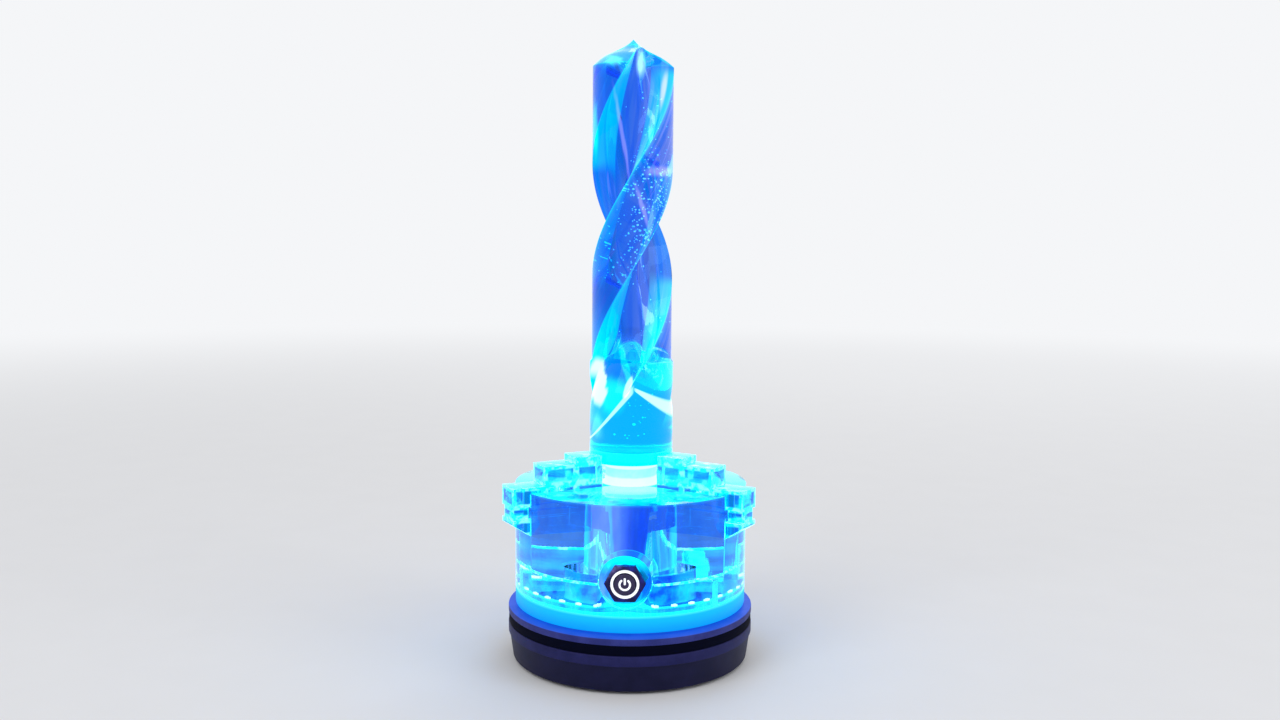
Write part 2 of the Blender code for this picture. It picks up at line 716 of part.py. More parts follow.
def make_screw(name, x, y, head_bottom, head_height, tip):
    """Cap screw with its head down, a hexagon socket in the head and a plain point."""
    head_top = head_bottom + head_height
    profile = [
        (0, tip),
        (SCREW_RADIUS - SCREW_POINT, tip),
        (SCREW_RADIUS, tip - SCREW_POINT),
        (SCREW_RADIUS, head_top),
        (HEAD_RADIUS, head_top),
        (HEAD_RADIUS, head_bottom),
        (0, head_bottom),
    ]
    carrier = axis_empty(f"{name}_axis", (x, y, 0), (0, 0, 0))
    screw = turned(name, profile, "steel", SMALL_SEGMENTS, carrier)
    socket = plate_mesh("socket", hexagon(SOCKET_FLATS), head_bottom - OVERRUN, head_bottom + SOCKET_DEPTH)
    cut(screw, socket, "socket", carrier)


def make_screws():
    """Screws of the cover, the base and the chuck."""
    for number, degrees in enumerate(spread(COVER_SCREW_COUNT, COVER_SCREW_TURN), 1):
        x, y = on_circle(SCREW_CIRCLE, degrees)
        tip = COVER_TOP + COVER_SCREW_GRIP
        make_screw(f"cover_screw_{number}", x, y, COVER_BOTTOM, COVER_HEAD_HEIGHT, tip)
    for number, degrees in enumerate(spread(BASE_SCREW_COUNT, BASE_SCREW_TURN), 1):
        x, y = on_circle(SCREW_CIRCLE, degrees)
        make_screw(f"base_screw_{number}", x, y, LEDGE + GAP, HEAD_HEIGHT, BAND_BOTTOM + BASE_SCREW_GRIP)
    for number, degrees in enumerate(CHUCK_SCREW_DIRECTIONS, 1):
        x, y = on_circle(CHUCK_SCREW_CIRCLE, degrees)
        make_screw(f"chuck_screw_{number}", x, y, BAND_BOTTOM + GAP, HEAD_HEIGHT,
                   CHUCK_BOTTOM + CHUCK_SCREW_GRIP)


# Diffuser and lights


def make_disc():
    """Opal disc under the drum, with screw holes and lead holes."""
    profile = [
        (0, DISC_TOP),
        (CHUCK_RADIUS - DISC_EDGE, DISC_TOP),
        (CHUCK_RADIUS, DISC_TOP - DISC_EDGE),
        (CHUCK_RADIUS, DISC_BOTTOM + DISC_EDGE),
        (CHUCK_RADIUS - DISC_EDGE, DISC_BOTTOM),
        (0, DISC_BOTTOM),
    ]
    disc = turned("diffuser_disc", profile, "opal_disc")
    for number, degrees in enumerate(CHUCK_SCREW_DIRECTIONS, 1):
        x, y = on_circle(CHUCK_SCREW_CIRCLE, degrees)
        cut_hole(disc, f"screw_hole_{number}", x, y, DISC_BOTTOM - OVERRUN, DISC_TOP + OVERRUN)
    lead_holes(disc, DISC_BOTTOM, DISC_TOP)


def packages_mesh():
    """Return the light packages as boxes on a circle, sunk halfway into their tape."""
    bottom = LIGHT_BOARD_TOP + GAP + TAPE_THICKNESS / 2
    top = LIGHT_BOARD_TOP + GAP + TAPE_THICKNESS + PACKAGE_HEIGHT
    shape = bmesh.new()
    for degrees in spread(PACKAGE_COUNT, 180 / PACKAGE_COUNT):
        x, y = on_circle(LIGHT_CIRCLE, degrees)
        spot = Matrix.Translation((x, y, (top + bottom) / 2))
        facing = Matrix.Rotation(math.radians(degrees), 4, "Z")
        size = Matrix.Diagonal((PACKAGE_SIZE, PACKAGE_SIZE, top - bottom, 1))
        bmesh.ops.create_cube(shape, size=1, matrix=spot @ facing @ size)
    mesh = bpy.data.meshes.new("packages")
    shape.to_mesh(mesh)
    shape.free()
    return mesh


def make_lights():
    """Ring board with its tape of packages, and the emitter on its star board under the bore."""
    board = ring_profile(LIGHT_RING_INNER, LIGHT_RING_OUTER, LIGHT_BOTTOM, LIGHT_BOARD_TOP)
    turned("light_ring_board", board, "board_white")
    tape_bottom = LIGHT_BOARD_TOP + GAP
    tape_profile = ring_profile(LIGHT_RING_INNER + TAPE_MARGIN, LIGHT_RING_OUTER - TAPE_MARGIN, tape_bottom,
                                tape_bottom + TAPE_THICKNESS)
    tape = turned("light_tape", tape_profile, "package_white")
    join(tape, packages_mesh(), "packages")
    star = disc_profile(STAR_RADIUS, LIGHT_BOTTOM, LIGHT_BOARD_TOP)
    turned("star_board", star, "board_white", MEDIUM_SEGMENTS)
    emitter_bottom = LIGHT_BOARD_TOP + GAP
    dome_bottom = emitter_bottom + EMITTER_BASE
    quarter = [math.pi / 2 * k / DOME_SEGMENTS for k in range(DOME_SEGMENTS + 1)]
    dome = [(EMITTER_RADIUS * math.sin(a), dome_bottom + EMITTER_DOME * math.cos(a)) for a in quarter]
    turned("centre_emitter", [*dome, (EMITTER_RADIUS, emitter_bottom), (0, emitter_bottom)], "lit_white",
           MEDIUM_SEGMENTS)


# Chuck


def slot_outline():
    """Return the guide slot's section as (across, height below the chuck's top) points."""
    wide = JAW_WIDTH / 2 + GAP
    narrow = JAW_WAIST / 2 + GAP
    rail_top = -JAW_BLOCK_DEPTH - GAP
    rail_bottom = -JAW_BLOCK_DEPTH - JAW_WAIST_DEPTH + GAP
    bottom = -JAW_BOTTOM - GAP
    half = [
        (wide, OVERRUN),
        (wide, rail_top),
        (narrow, rail_top),
        (narrow, rail_bottom),
        (wide, rail_bottom),
        (wide, bottom),
    ]
    return half + [(-across, height) for across, height in reversed(half)]


def make_chuck():
    """Clear chuck body: bore, recess below, three guide slots, button pocket and screw holes."""
    mouth_bottom = CHUCK_TOP - MOUTH_DEPTH
    recess_top = CHUCK_BOTTOM + RECESS_DEPTH
    profile = [
        (MOUTH_RADIUS, CHUCK_TOP),
        (CHUCK_RADIUS - CHUCK_EDGE, CHUCK_TOP),
        (CHUCK_RADIUS, CHUCK_TOP - CHUCK_EDGE),
        (CHUCK_RADIUS, CHUCK_BOTTOM + CHUCK_EDGE),
        (CHUCK_RADIUS - CHUCK_EDGE, CHUCK_BOTTOM),
        (RECESS_RADIUS, CHUCK_BOTTOM),
        (RECESS_RADIUS, recess_top),
        (HUB_RADIUS, recess_top),
        (HUB_RADIUS, CHUCK_BOTTOM),
        (BORE_RADIUS, CHUCK_BOTTOM),
        (BORE_RADIUS, mouth_bottom),
        (MOUTH_RADIUS, mouth_bottom),
    ]
    chuck = turned("chuck_body", profile, "clear_resin")
    slot_start = BORE_RADIUS / 2
    slot_end = CHUCK_RADIUS + OVERRUN
    for name, axis in JAW_AXES.items():
        slot = plate_mesh("slot", slot_outline(), slot_start, slot_end)
        slot.transform(outward_frame())
        cut(chuck, slot, f"slot_{name}", axis)
    pocket_top = CHUCK_RADIUS - INSERT_FACE + OVERRUN
    pocket = rod_mesh("pocket", INSERT_RADIUS + GAP, TAB_END - POCKET_ROOM, pocket_top, MEDIUM_SEGMENTS)
    cut(chuck, pocket, "button_pocket", BUTTON_AXIS)
    for number, degrees in enumerate(CHUCK_SCREW_DIRECTIONS, 1):
        x, y = on_circle(CHUCK_SCREW_CIRCLE, degrees)
        cut_hole(chuck, f"screw_hole_{number}", x, y, CHUCK_BOTTOM - OVERRUN,
                 CHUCK_BOTTOM + CHUCK_SCREW_GRIP + GAP)


def outward_frame():
    """Return the turn that lays a plate's XY on across and up, and its thickness outwards along X."""
    return Matrix(((0, 0, 1, 0), (1, 0, 0, 0), (0, 1, 0, 0), (0, 0, 0, 1)))


def jaw_mesh():
    """Return one jaw: stepped side outline, guide grooves, a pointed nose and the seat for the shank."""
    outline = [
        (JAW_TIP, -JAW_BOTTOM),
        (JAW_REACH - JAW_TOE_RUN, -JAW_BOTTOM),
        (JAW_REACH, -JAW_BOTTOM + JAW_TOE_HEIGHT),
        (JAW_REACH, JAW_LOW_STEP),
        (JAW_MIDDLE_END, JAW_LOW_STEP),
        (JAW_MIDDLE_END, JAW_MIDDLE_STEP),
        (JAW_HIGH_END, JAW_MIDDLE_STEP),
        (JAW_HIGH_END, JAW_HIGH_STEP),
        (JAW_TIP, JAW_HIGH_STEP),
    ]
    mesh = plate_mesh("jaw", outline, -JAW_WIDTH / 2, JAW_WIDTH / 2)
    mesh.transform(Matrix.Rotation(math.pi / 2, 4, "X"))
    blank = cutter("jaw_blank", mesh)
    groove_depth = (JAW_WIDTH - JAW_WAIST) / 2
    groove_length = JAW_REACH - JAW_TIP + 2 * OVERRUN
    for side in (-1, 1):
        groove = block_mesh("groove", (groove_length, groove_depth + OVERRUN, JAW_WAIST_DEPTH),
                            ((JAW_TIP + JAW_REACH) / 2, side * (JAW_WAIST + groove_depth + OVERRUN) / 2,
                             -JAW_BLOCK_DEPTH - JAW_WAIST_DEPTH / 2))
        cut(blank, groove, f"groove_{side}")
    slope = math.tan(math.radians(JAW_POINT_DEGREES))
    run = (JAW_WIDTH - JAW_NOSE) / 2 / slope + OVERRUN
    for side in (-1, 1):
        chamfer = [
            (JAW_TIP - OVERRUN, side * (JAW_NOSE / 2 - OVERRUN * slope)),
            (JAW_TIP + run, side * (JAW_NOSE / 2 + run * slope)),
            (JAW_TIP - OVERRUN, side * (JAW_NOSE / 2 + run * slope)),
        ]
        corner = plate_mesh("nose", chamfer[::side], -JAW_BOTTOM - OVERRUN, JAW_HIGH_STEP + OVERRUN)
        cut(blank, corner, f"nose_{side}")
    seat = rod_mesh("seat", SHANK_RADIUS + GAP, SHANK_LIFT - GAP, JAW_HIGH_STEP + OVERRUN, LARGE_SEGMENTS)
    cut(blank, seat, "seat")
    return evaluated_mesh(blank)


def make_jaws():
    """Three jaws of one mesh, each on its slide."""
    mesh = jaw_mesh()
    for name, axis in JAW_AXES.items():
        place(name, mesh, "jaw_resin", axis)


# Drill and light plug


def flute_depth(angle):
    """Return how deep the flute lies below the land, from the angle off the flute's middle.

    The flute is one round arc through both land edges that leaves the web at its middle.
    """
    half = math.radians(180 - LAND_DEGREES) / 2
    if abs(angle) >= half:
        return 0
    centre = (FLUTED_RADIUS**2 - WEB_RADIUS**2) / 2 / (FLUTED_RADIUS * math.cos(half) - WEB_RADIUS)
    arc = centre - WEB_RADIUS
    return FLUTED_RADIUS - centre * math.cos(angle) + math.sqrt(arc**2 - (centre * math.sin(angle))**2)


def section_columns():
    """Return the section's columns as (angle round the section, flute depth), one turn of two flutes."""
    half_flute = math.radians(180 - LAND_DEGREES) / 2
    half_land = math.radians(LAND_DEGREES) / 2
    columns = []
    for middle in (math.pi / 2, math.pi * 3 / 2):
        for k in range(FLUTE_SEGMENTS):
            off = half_flute * (2 * k / FLUTE_SEGMENTS - 1)
            columns.append((middle + off, flute_depth(off)))
        for k in range(LAND_SEGMENTS):
            off = half_land * (2 * k / LAND_SEGMENTS - 1)
            columns.append((middle + math.pi / 2 + off, 0))
    return columns


def point_drop(radius):
    """Return how far the point's surface lies below the tip, a cone with a slight ogee."""
    share = radius / FLUTED_RADIUS
    return POINT_HEIGHT * (share + OGEE_SHARE * math.sin(2 * math.pi * share))


def blank_radius(height):
    """Return the drill blank's radius at a height above the shank's underside."""
    step = SHANK_RADIUS - FLUTED_RADIUS
    over = min(max(height - SHANK_LENGTH, 0), step)
    return SHANK_RADIUS - over


def run_out_fade(height):
    """Return how far the flutes are cut in, from 0 at the run-out's start: a smooth step squared."""
    into = min((height - RUN_OUT_START) / RUN_OUT_LENGTH, 1)
    return (into * into * (3 - 2 * into)) ** 2


def drill_rows():
    """Return the rows of (radius, height) of every column, from the underside to the point."""
    columns = section_columns()
    shank = [
        (SHANK_RADIUS - SHANK_EDGE, 0),
        (SHANK_RADIUS, SHANK_EDGE),
        (SHANK_RADIUS, RING_HEIGHT - RING_GROOVE),
        (SHANK_RADIUS - RING_GROOVE, RING_HEIGHT),
        (SHANK_RADIUS, RING_HEIGHT + RING_GROOVE),
    ]
    rows = [[(radius, height)] * len(columns) for radius, height in shank]
    tops = [DRILL_LENGTH - point_drop(FLUTED_RADIUS - depth) for angle, depth in columns]
    for k in range(FLUTE_ROWS + 1):
        row = []
        for (angle, depth), top in zip(columns, tops):
            height = RUN_OUT_START + (top - RUN_OUT_START) * k / FLUTE_ROWS
            row.append((blank_radius(height) - run_out_fade(height) * depth, height))
        rows.append(row)
    for share in POINT_SHARES:
        radii = [(FLUTED_RADIUS - depth) * share for angle, depth in columns]
        rows.append([(radius, DRILL_LENGTH - point_drop(radius)) for radius in radii])
    return columns, rows


def make_drill():
    """Twist drill: a loft of the two-flute section along its lead, with a run-out and a point."""
    columns, rows = drill_rows()
    count = len(columns)
    points = []
    for row in rows:
        for (angle, depth), (radius, height) in zip(columns, row):
            turned_by = angle + 2 * math.pi * (height - LAND_CENTRE_HEIGHT) / FLUTE_LEAD
            points.append((radius * math.sin(turned_by), -radius * math.cos(turned_by), height))
    faces = []
    for i in range(len(rows) - 1):
        for j in range(count):
            k = (j + 1) % count
            faces.append((i * count + j, i * count + k, (i + 1) * count + k, (i + 1) * count + j))
    tip = len(points)
    points.append((0, 0, DRILL_LENGTH))
    last = (len(rows) - 1) * count
    faces.extend((last + j, last + (j + 1) % count, tip) for j in range(count))
    faces.append(tuple(reversed(range(count))))
    mesh = bpy.data.meshes.new("resin_drill")
    mesh.from_pydata(points, [], faces)
    drill = place("resin_drill", mesh, "clear_resin")
    drill.location = (0, 0, SHANK_BOTTOM)


def make_light_plug():
    """Frosted plug in the bore's mouth, whose neck carries light and the drill."""
    flange_bottom = CHUCK_TOP - MOUTH_DEPTH + GAP
    profile = [
        (0, SHANK_BOTTOM - GAP),
        (PLUG_NECK_RADIUS, SHANK_BOTTOM - GAP),
        (PLUG_NECK_RADIUS, CHUCK_TOP),
        (MOUTH_RADIUS - GAP, CHUCK_TOP),
        (MOUTH_RADIUS - GAP, flange_bottom),
        (0, flange_bottom),
    ]
    turned("light_plug", profile, "frosted_plug", MEDIUM_SEGMENTS)


# Power button


def make_button_housing():
    """Clear insert, seal, hexagon bezel, lit ring, barrel and nut."""
    insert = ring_profile(BARREL_RADIUS + GAP, INSERT_RADIUS, -INSERT_LENGTH, 0)
    turned("button_insert", insert, "clear_resin", MEDIUM_SEGMENTS, BUTTON_AXIS)
    seal = ring_profile(BARREL_RADIUS + GAP, HEX_FLATS / 2, GAP, GAP + SEAL_THICKNESS)
    turned("button_seal", seal, "black_rubber", MEDIUM_SEGMENTS, BUTTON_AXIS)
    bezel_mesh = plate_mesh("hex_bezel", hexagon(HEX_FLATS), HEX_REAR, HEX_FRONT)
    bezel = place("hex_bezel", bezel_mesh, "black_metal", BUTTON_AXIS)
    dome = [
        (0, HEX_FRONT + OVERRUN),
        (RING_OUTER_RADIUS + 2 * GAP, HEX_FRONT + OVERRUN),
        (RING_OUTER_RADIUS + 2 * GAP, HEX_FRONT),
        (HEX_CORNER + GAP, HEX_FRONT - HEX_CHAMFER),
        (HEX_CORNER + GAP, HEX_REAR - OVERRUN),
        (0, HEX_REAR - OVERRUN),
    ]
    combine(bezel, turned_cutter("hex_bezel_dome", dome, MEDIUM_SEGMENTS, BUTTON_AXIS), "INTERSECT")
    ring_bottom = HEX_FRONT - RING_THICKNESS
    opening = [
        (0, HEX_FRONT + OVERRUN),
        (RING_OUTER_RADIUS + GAP, HEX_FRONT + OVERRUN),
        (RING_OUTER_RADIUS + GAP, ring_bottom - GAP),
        (CAP_BORE_RADIUS, ring_bottom - GAP),
        (CAP_BORE_RADIUS, BARREL_FRONT + GAP),
        (BARREL_RADIUS + GAP, BARREL_FRONT + GAP),
        (BARREL_RADIUS + GAP, HEX_REAR - OVERRUN),
        (0, HEX_REAR - OVERRUN),
    ]
    combine(bezel, turned_cutter("hex_bezel_opening", opening, MEDIUM_SEGMENTS, BUTTON_AXIS), "DIFFERENCE")
    ring = ring_profile(RING_OUTER_RADIUS - RING_WIDTH, RING_OUTER_RADIUS, ring_bottom, HEX_FRONT)
    turned("light_ring", ring, "lit_white", MEDIUM_SEGMENTS, BUTTON_AXIS)
    barrel = [
        (CAP_BORE_RADIUS, BARREL_FRONT),
        (BARREL_RADIUS, BARREL_FRONT),
        (BARREL_RADIUS, BARREL_REAR),
        (CAP_BORE_RADIUS, BARREL_REAR),
        (CAP_BORE_RADIUS, GUIDE_BOTTOM),
        (STEM_RADIUS + GAP, GUIDE_BOTTOM),
        (STEM_RADIUS + GAP, GUIDE_TOP),
        (CAP_BORE_RADIUS, GUIDE_TOP),
    ]
    turned("switch_barrel", barrel, "nickel", MEDIUM_SEGMENTS, BUTTON_AXIS)
    make_nut("switch_nut", BARREL_RADIUS, SWITCH_NUT_WALL, -INSERT_LENGTH - GAP, SWITCH_NUT_THICKNESS,
             BUTTON_AXIS)


def make_nut(name, thread_radius, wall, front, thickness, axis):
    """Hexagon nut with a plain bore for its thread and a wall at its flats."""
    rear = front - thickness
    nut = place(name, plate_mesh(name, hexagon(2 * (thread_radius + wall)), rear, front), "nickel", axis)
    thread = rod_mesh("thread", thread_radius + GAP, rear - OVERRUN, front + OVERRUN, MEDIUM_SEGMENTS)
    cut(nut, thread, "thread", axis)


def symbol_arc(clearance):
    """Return the outline of the power symbol's open ring, grown by a clearance."""
    outer = SYMBOL_RADIUS + clearance
    inner = SYMBOL_RADIUS - SYMBOL_STROKE - clearance
    middle = SYMBOL_RADIUS - SYMBOL_STROKE / 2
    half_open = math.radians(SYMBOL_OPENING_DEGREES) / 2 - clearance / middle
    sweep = 2 * math.pi - 2 * half_open
    angles = [math.pi / 2 + half_open + sweep * k / SYMBOL_SEGMENTS for k in range(SYMBOL_SEGMENTS + 1)]
    return ([(outer * math.cos(a), outer * math.sin(a)) for a in angles]
            + [(inner * math.cos(a), inner * math.sin(a)) for a in reversed(angles)])


def symbol_bar(clearance):
    """Return the outline of the power symbol's bar, grown by a clearance."""
    half = SYMBOL_STROKE / 2 + clearance
    top = SYMBOL_RADIUS + SYMBOL_BAR_RISE + clearance
    bottom = SYMBOL_RADIUS + SYMBOL_BAR_RISE - SYMBOL_BAR - clearance
    return [(-half, bottom), (half, bottom), (half, top), (-half, top)]


def make_button():
    """Moving cap on its stem, with the power symbol let into its face."""
    profile = [
        (0, CAP_FRONT),
        (CAP_RADIUS - CAP_EDGE, CAP_FRONT),
        (CAP_RADIUS, CAP_FRONT - CAP_EDGE),
        (CAP_RADIUS, CAP_REAR),
        (STEM_RADIUS, CAP_REAR),
        (STEM_RADIUS, COLLAR_TOP),
        (STEM_COLLAR_RADIUS, COLLAR_TOP),
        (STEM_COLLAR_RADIUS, COLLAR_TOP - STEM_COLLAR_HEIGHT),
        (STEM_RADIUS, COLLAR_TOP - STEM_COLLAR_HEIGHT),
        (STEM_RADIUS, STEM_TIP),
        (0, STEM_TIP),
    ]
    cap = turned("button_cap", profile, "button_black", MEDIUM_SEGMENTS, BUTTON_AXIS)
    floor = CAP_FRONT - SYMBOL_DEPTH
    for name, outline in (("symbol_arc", symbol_arc), ("symbol_bar", symbol_bar)):
        seat = plate_mesh(name, outline(INLAY_GAP), floor - INLAY_GAP, CAP_FRONT + OVERRUN)
        cut(cap, seat, name, BUTTON_AXIS)
        place(name, plate_mesh(name, outline(0), floor, CAP_FRONT), "lit_white", BUTTON_AXIS)


def make_contacts():
    """Contact block behind the barrel, with its nose inside it and two tabs."""
    profile = [
        (0, CONTACT_FRONT + CONTACT_NOSE),
        (CAP_BORE_RADIUS - GAP, CONTACT_FRONT + CONTACT_NOSE),
        (CAP_BORE_RADIUS - GAP, CONTACT_FRONT),
        (CONTACT_RADIUS, CONTACT_FRONT),
        (CONTACT_RADIUS, CONTACT_REAR),
        (0, CONTACT_REAR),
    ]
    turned("contact_block", profile, "chip_black", MEDIUM_SEGMENTS, BUTTON_AXIS)
    for name, side in (("switch_tab_left", -1), ("switch_tab_right", 1)):
        tab = block_mesh(name, (TAB_THICKNESS, TAB_WIDTH, TAB_LENGTH),
                         (side * TAB_SPACING / 2, 0, TAB_END + TAB_LENGTH / 2))
        place(name, tab, "nickel", BUTTON_AXIS)


# Power inlet


def make_inlet():
    """Power inlet: housing, centre pin, nut and two tabs."""
    bore_end = GAP + INLET_FLANGE_THICKNESS - INLET_BORE_DEPTH
    housing = [
        (0, bore_end),
        (INLET_BORE_RADIUS, bore_end),
        (INLET_BORE_RADIUS, GAP + INLET_FLANGE_THICKNESS),
        (INLET_FLANGE_RADIUS, GAP + INLET_FLANGE_THICKNESS),
        (INLET_FLANGE_RADIUS, GAP),
        (INLET_BARREL_RADIUS, GAP),
        (INLET_BARREL_RADIUS, INLET_BARREL_END),
        (0, INLET_BARREL_END),
    ]
    turned("inlet_housing", housing, "inlet_black", MEDIUM_SEGMENTS, INLET_AXIS)
    pin_bottom = bore_end + GAP
    pin = disc_profile(INLET_PIN_RADIUS, pin_bottom, pin_bottom + INLET_PIN_LENGTH)
    turned("inlet_pin", pin, "nickel", SMALL_SEGMENTS, INLET_AXIS)
    make_nut("inlet_nut", INLET_BARREL_RADIUS, INLET_NUT_WALL, -INLET_WALL - GAP, INLET_NUT_THICKNESS,
             INLET_AXIS)
    for name, side in (("inlet_tab_left", -1), ("inlet_tab_right", 1)):
        tab = block_mesh(name, (TAB_THICKNESS, TAB_WIDTH, INLET_TAB_LENGTH),
                         (side * INLET_TAB_SPACING / 2, 0, INLET_BARREL_END - GAP - INLET_TAB_LENGTH / 2))
        place(name, tab, "nickel", INLET_AXIS)


# Controller board


def make_controller():
    """Controller board on the cover's posts, with its chip, capacitor and two terminal blocks."""
    board = block_mesh("controller_board", (BOARD_WIDTH, BOARD_DEPTH, BOARD_THICKNESS),
                       (0, BOARD_CENTRE_Y, (BOARD_BOTTOM + BOARD_TOP) / 2))
    place("controller_board", board, "board_green")
    chip = block_mesh("controller_chip", (CHIP_SIZE, CHIP_SIZE, CHIP_HEIGHT),
                      (-BOARD_WIDTH / 4, BOARD_CENTRE_Y, PARTS_BOTTOM + CHIP_HEIGHT / 2))
    place("controller_chip", chip, "chip_black")
    profile = disc_profile(CAPACITOR_RADIUS, PARTS_BOTTOM, PARTS_BOTTOM + CAPACITOR_HEIGHT)
    capacitor = turned("capacitor", profile, "chip_black", SMALL_SEGMENTS)
    capacitor.location = (BOARD_WIDTH / 4, BOARD_CENTRE_Y, 0)
    for name, width, y in (("led_terminal_block", LED_TERMINAL_WIDTH, LED_TERMINAL_Y),
                           ("power_terminal_block", POWER_TERMINAL_WIDTH, POWER_TERMINAL_Y)):
        terminal = block_mesh(name, (width, TERMINAL_DEPTH, TERMINAL_HEIGHT),
                              (0, y, PARTS_BOTTOM + TERMINAL_HEIGHT / 2))
        place(name, terminal, "terminal_green")


# Leads


def smooth_route(stops):
    """Return points on a smooth curve through the stops; its slope at a stop follows the nearer neighbour."""
    stops = [Vector(stop) for stop in stops]
    spans = [b - a for a, b in zip(stops, stops[1:])]
    slopes = [spans[0].normalized()]
    for before, after in zip(spans, spans[1:]):
        blend = before.normalized() * after.length + after.normalized() * before.length
        slopes.append(blend / (before.length + after.length))
    slopes.append(spans[-1].normalized())
    points = []
    for start, span, leave, arrive in zip(stops, spans, slopes, slopes[1:]):
        steps = math.ceil(span.length / LEAD_STEP)
        for k in range(steps):
            t = k / steps
            ease = t * t * (3 - 2 * t)
            bend = leave * t * (1 - t)**2 - arrive * t * t * (1 - t)
            points.append(start + span * ease + bend * span.length)
    return [*points, stops[-1]]


def make_lead(name, stops, finish_name):
    """Insulated lead along a smooth route."""
    curve = bpy.data.curves.new(name, "CURVE")
    curve.dimensions = "3D"
    curve.bevel_depth = LEAD_RADIUS
    curve.bevel_resolution = 1
    curve.use_fill_caps = True
    points = smooth_route(stops)
    line = curve.splines.new("POLY")
    line.points.add(len(points) - 1)
    for point, place_on_route in zip(line.points, points):
        point.co = (*place_on_route, 1)
    place(name, mesh_from_curve(curve), finish_name)


def riser(x, y, end):
    """Return the stops that take a lead straight up through its hole in the top plate."""
    return [(x, y, PLATE_UNDERSIDE - LEAD_BEND), (x, y, PLATE_UNDERSIDE), (x, y, end)]


def make_leads():
    """Leads from the board to the switch, the two lights and the inlet."""
    start = TERMINAL_TOP + GAP
    run = (start + PLATE_UNDERSIDE) / 2
    light_end = LIGHT_BOTTOM - GAP
    for name, side, colour in (("switch_lead_left", -1, "lead_black"), ("switch_lead_right", 1, "lead_red")):
        x = side * SWITCH_HOLE_RADIUS / 2
        tab_x = side * TAB_SPACING / 2
        stops = [
            (x, LED_TERMINAL_Y, start),
            *riser(x, SWITCH_HOLE_Y, DISC_TOP),
            (tab_x, SWITCH_HOLE_Y, DISC_TOP + RECESS_DEPTH / 2),
            (tab_x, (SWITCH_HOLE_Y + TAB_END_Y) / 2, BUTTON_HEIGHT - TAB_WIDTH / 2),
            (tab_x, TAB_END_Y + GAP, BUTTON_HEIGHT),
        ]
        make_lead(name, stops, colour)
    ring_stops = [(RING_LEAD_X, LED_TERMINAL_Y, start), *riser(RING_LEAD_X, RING_LEAD_Y, light_end)]
    make_lead("ring_lead", ring_stops, "lead_red")
    across = [(-RING_LEAD_X * share, LED_TERMINAL_Y * share, run) for share in CENTRE_RUN_SHARES]
    centre_stops = [(-RING_LEAD_X, LED_TERMINAL_Y, start), *across, *riser(0, 0, light_end)]
    make_lead("centre_lead", centre_stops, "lead_red")
    block_rear = POWER_TERMINAL_Y + TERMINAL_DEPTH / 2 + GAP
    terminal_middle = PARTS_BOTTOM + TERMINAL_HEIGHT / 2
    for name, side, colour in (("inlet_lead_left", -1, "lead_black"), ("inlet_lead_right", 1, "lead_red")):
        x = side * INLET_TAB_SPACING / 2
        stops = [
            (x, block_rear, terminal_middle),
            (x, block_rear + INLET_LEAD_STRAIGHT, terminal_middle),
            (x, INLET_TAB_END - INLET_LEAD_STRAIGHT, INLET_HEIGHT),
            (x, INLET_TAB_END - GAP, INLET_HEIGHT),
        ]
        make_lead(name, stops, colour)


make_pad()
make_cover()
make_base_body()
make_band()
make_top_plate()
make_screws()
make_disc()
make_lights()
make_chuck()
make_jaws()
make_light_plug()
make_drill()
make_button_housing()
make_button()
make_contacts()
make_inlet()
make_controller()
make_leads()
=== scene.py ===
"""Looks of the epoxy resin lamp: a clear lathe chuck that grips an upright twist drill, lit from below.

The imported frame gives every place. Each sub-assembly below is a class that holds its sizes, builds
its surfaces with numpy and dresses them. Lengths are metres, +Z is up and the button faces -Y.
"""
import json
import logging
import math
from dataclasses import dataclass, field, replace
from enum import Enum
from typing import Any, Callable, Sequence

import bmesh
import bpy
import numpy as np
from mathutils import Matrix, Vector

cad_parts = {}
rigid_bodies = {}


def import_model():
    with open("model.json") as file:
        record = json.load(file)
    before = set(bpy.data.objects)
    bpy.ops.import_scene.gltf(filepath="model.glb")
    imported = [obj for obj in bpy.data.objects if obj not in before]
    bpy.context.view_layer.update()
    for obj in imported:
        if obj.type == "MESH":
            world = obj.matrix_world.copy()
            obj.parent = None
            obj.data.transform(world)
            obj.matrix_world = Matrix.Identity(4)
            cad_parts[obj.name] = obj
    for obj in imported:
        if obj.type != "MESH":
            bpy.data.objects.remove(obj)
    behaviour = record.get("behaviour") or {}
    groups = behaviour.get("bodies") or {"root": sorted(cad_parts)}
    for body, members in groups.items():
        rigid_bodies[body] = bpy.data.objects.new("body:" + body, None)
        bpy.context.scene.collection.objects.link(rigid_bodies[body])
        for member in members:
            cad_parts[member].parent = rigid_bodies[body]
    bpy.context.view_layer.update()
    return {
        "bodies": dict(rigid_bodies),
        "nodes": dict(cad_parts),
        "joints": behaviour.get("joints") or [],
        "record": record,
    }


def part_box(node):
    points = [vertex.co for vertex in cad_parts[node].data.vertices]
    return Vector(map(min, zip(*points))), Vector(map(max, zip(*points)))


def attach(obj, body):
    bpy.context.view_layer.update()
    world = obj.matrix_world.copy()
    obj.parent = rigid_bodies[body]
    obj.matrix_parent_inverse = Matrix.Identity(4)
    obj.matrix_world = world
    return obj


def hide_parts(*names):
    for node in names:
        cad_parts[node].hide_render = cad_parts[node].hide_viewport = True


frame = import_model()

MM = 0.001
ROOT = "root"
BUTTON_BODY = "power_button"
DRUM_RADIUS = 62.5 * MM
DRUM_FOOT = 39.8 * MM
DRUM_TOP = 96.0 * MM
BORE_RADIUS = 16.0 * MM
SHANK_RADIUS = 22.4 * MM
INSERT_RADIUS = 13.3 * MM
INSERT_FACE = math.sqrt(DRUM_RADIUS ** 2 - INSERT_RADIUS ** 2)
BUTTON_HEIGHT = 57.2 * MM
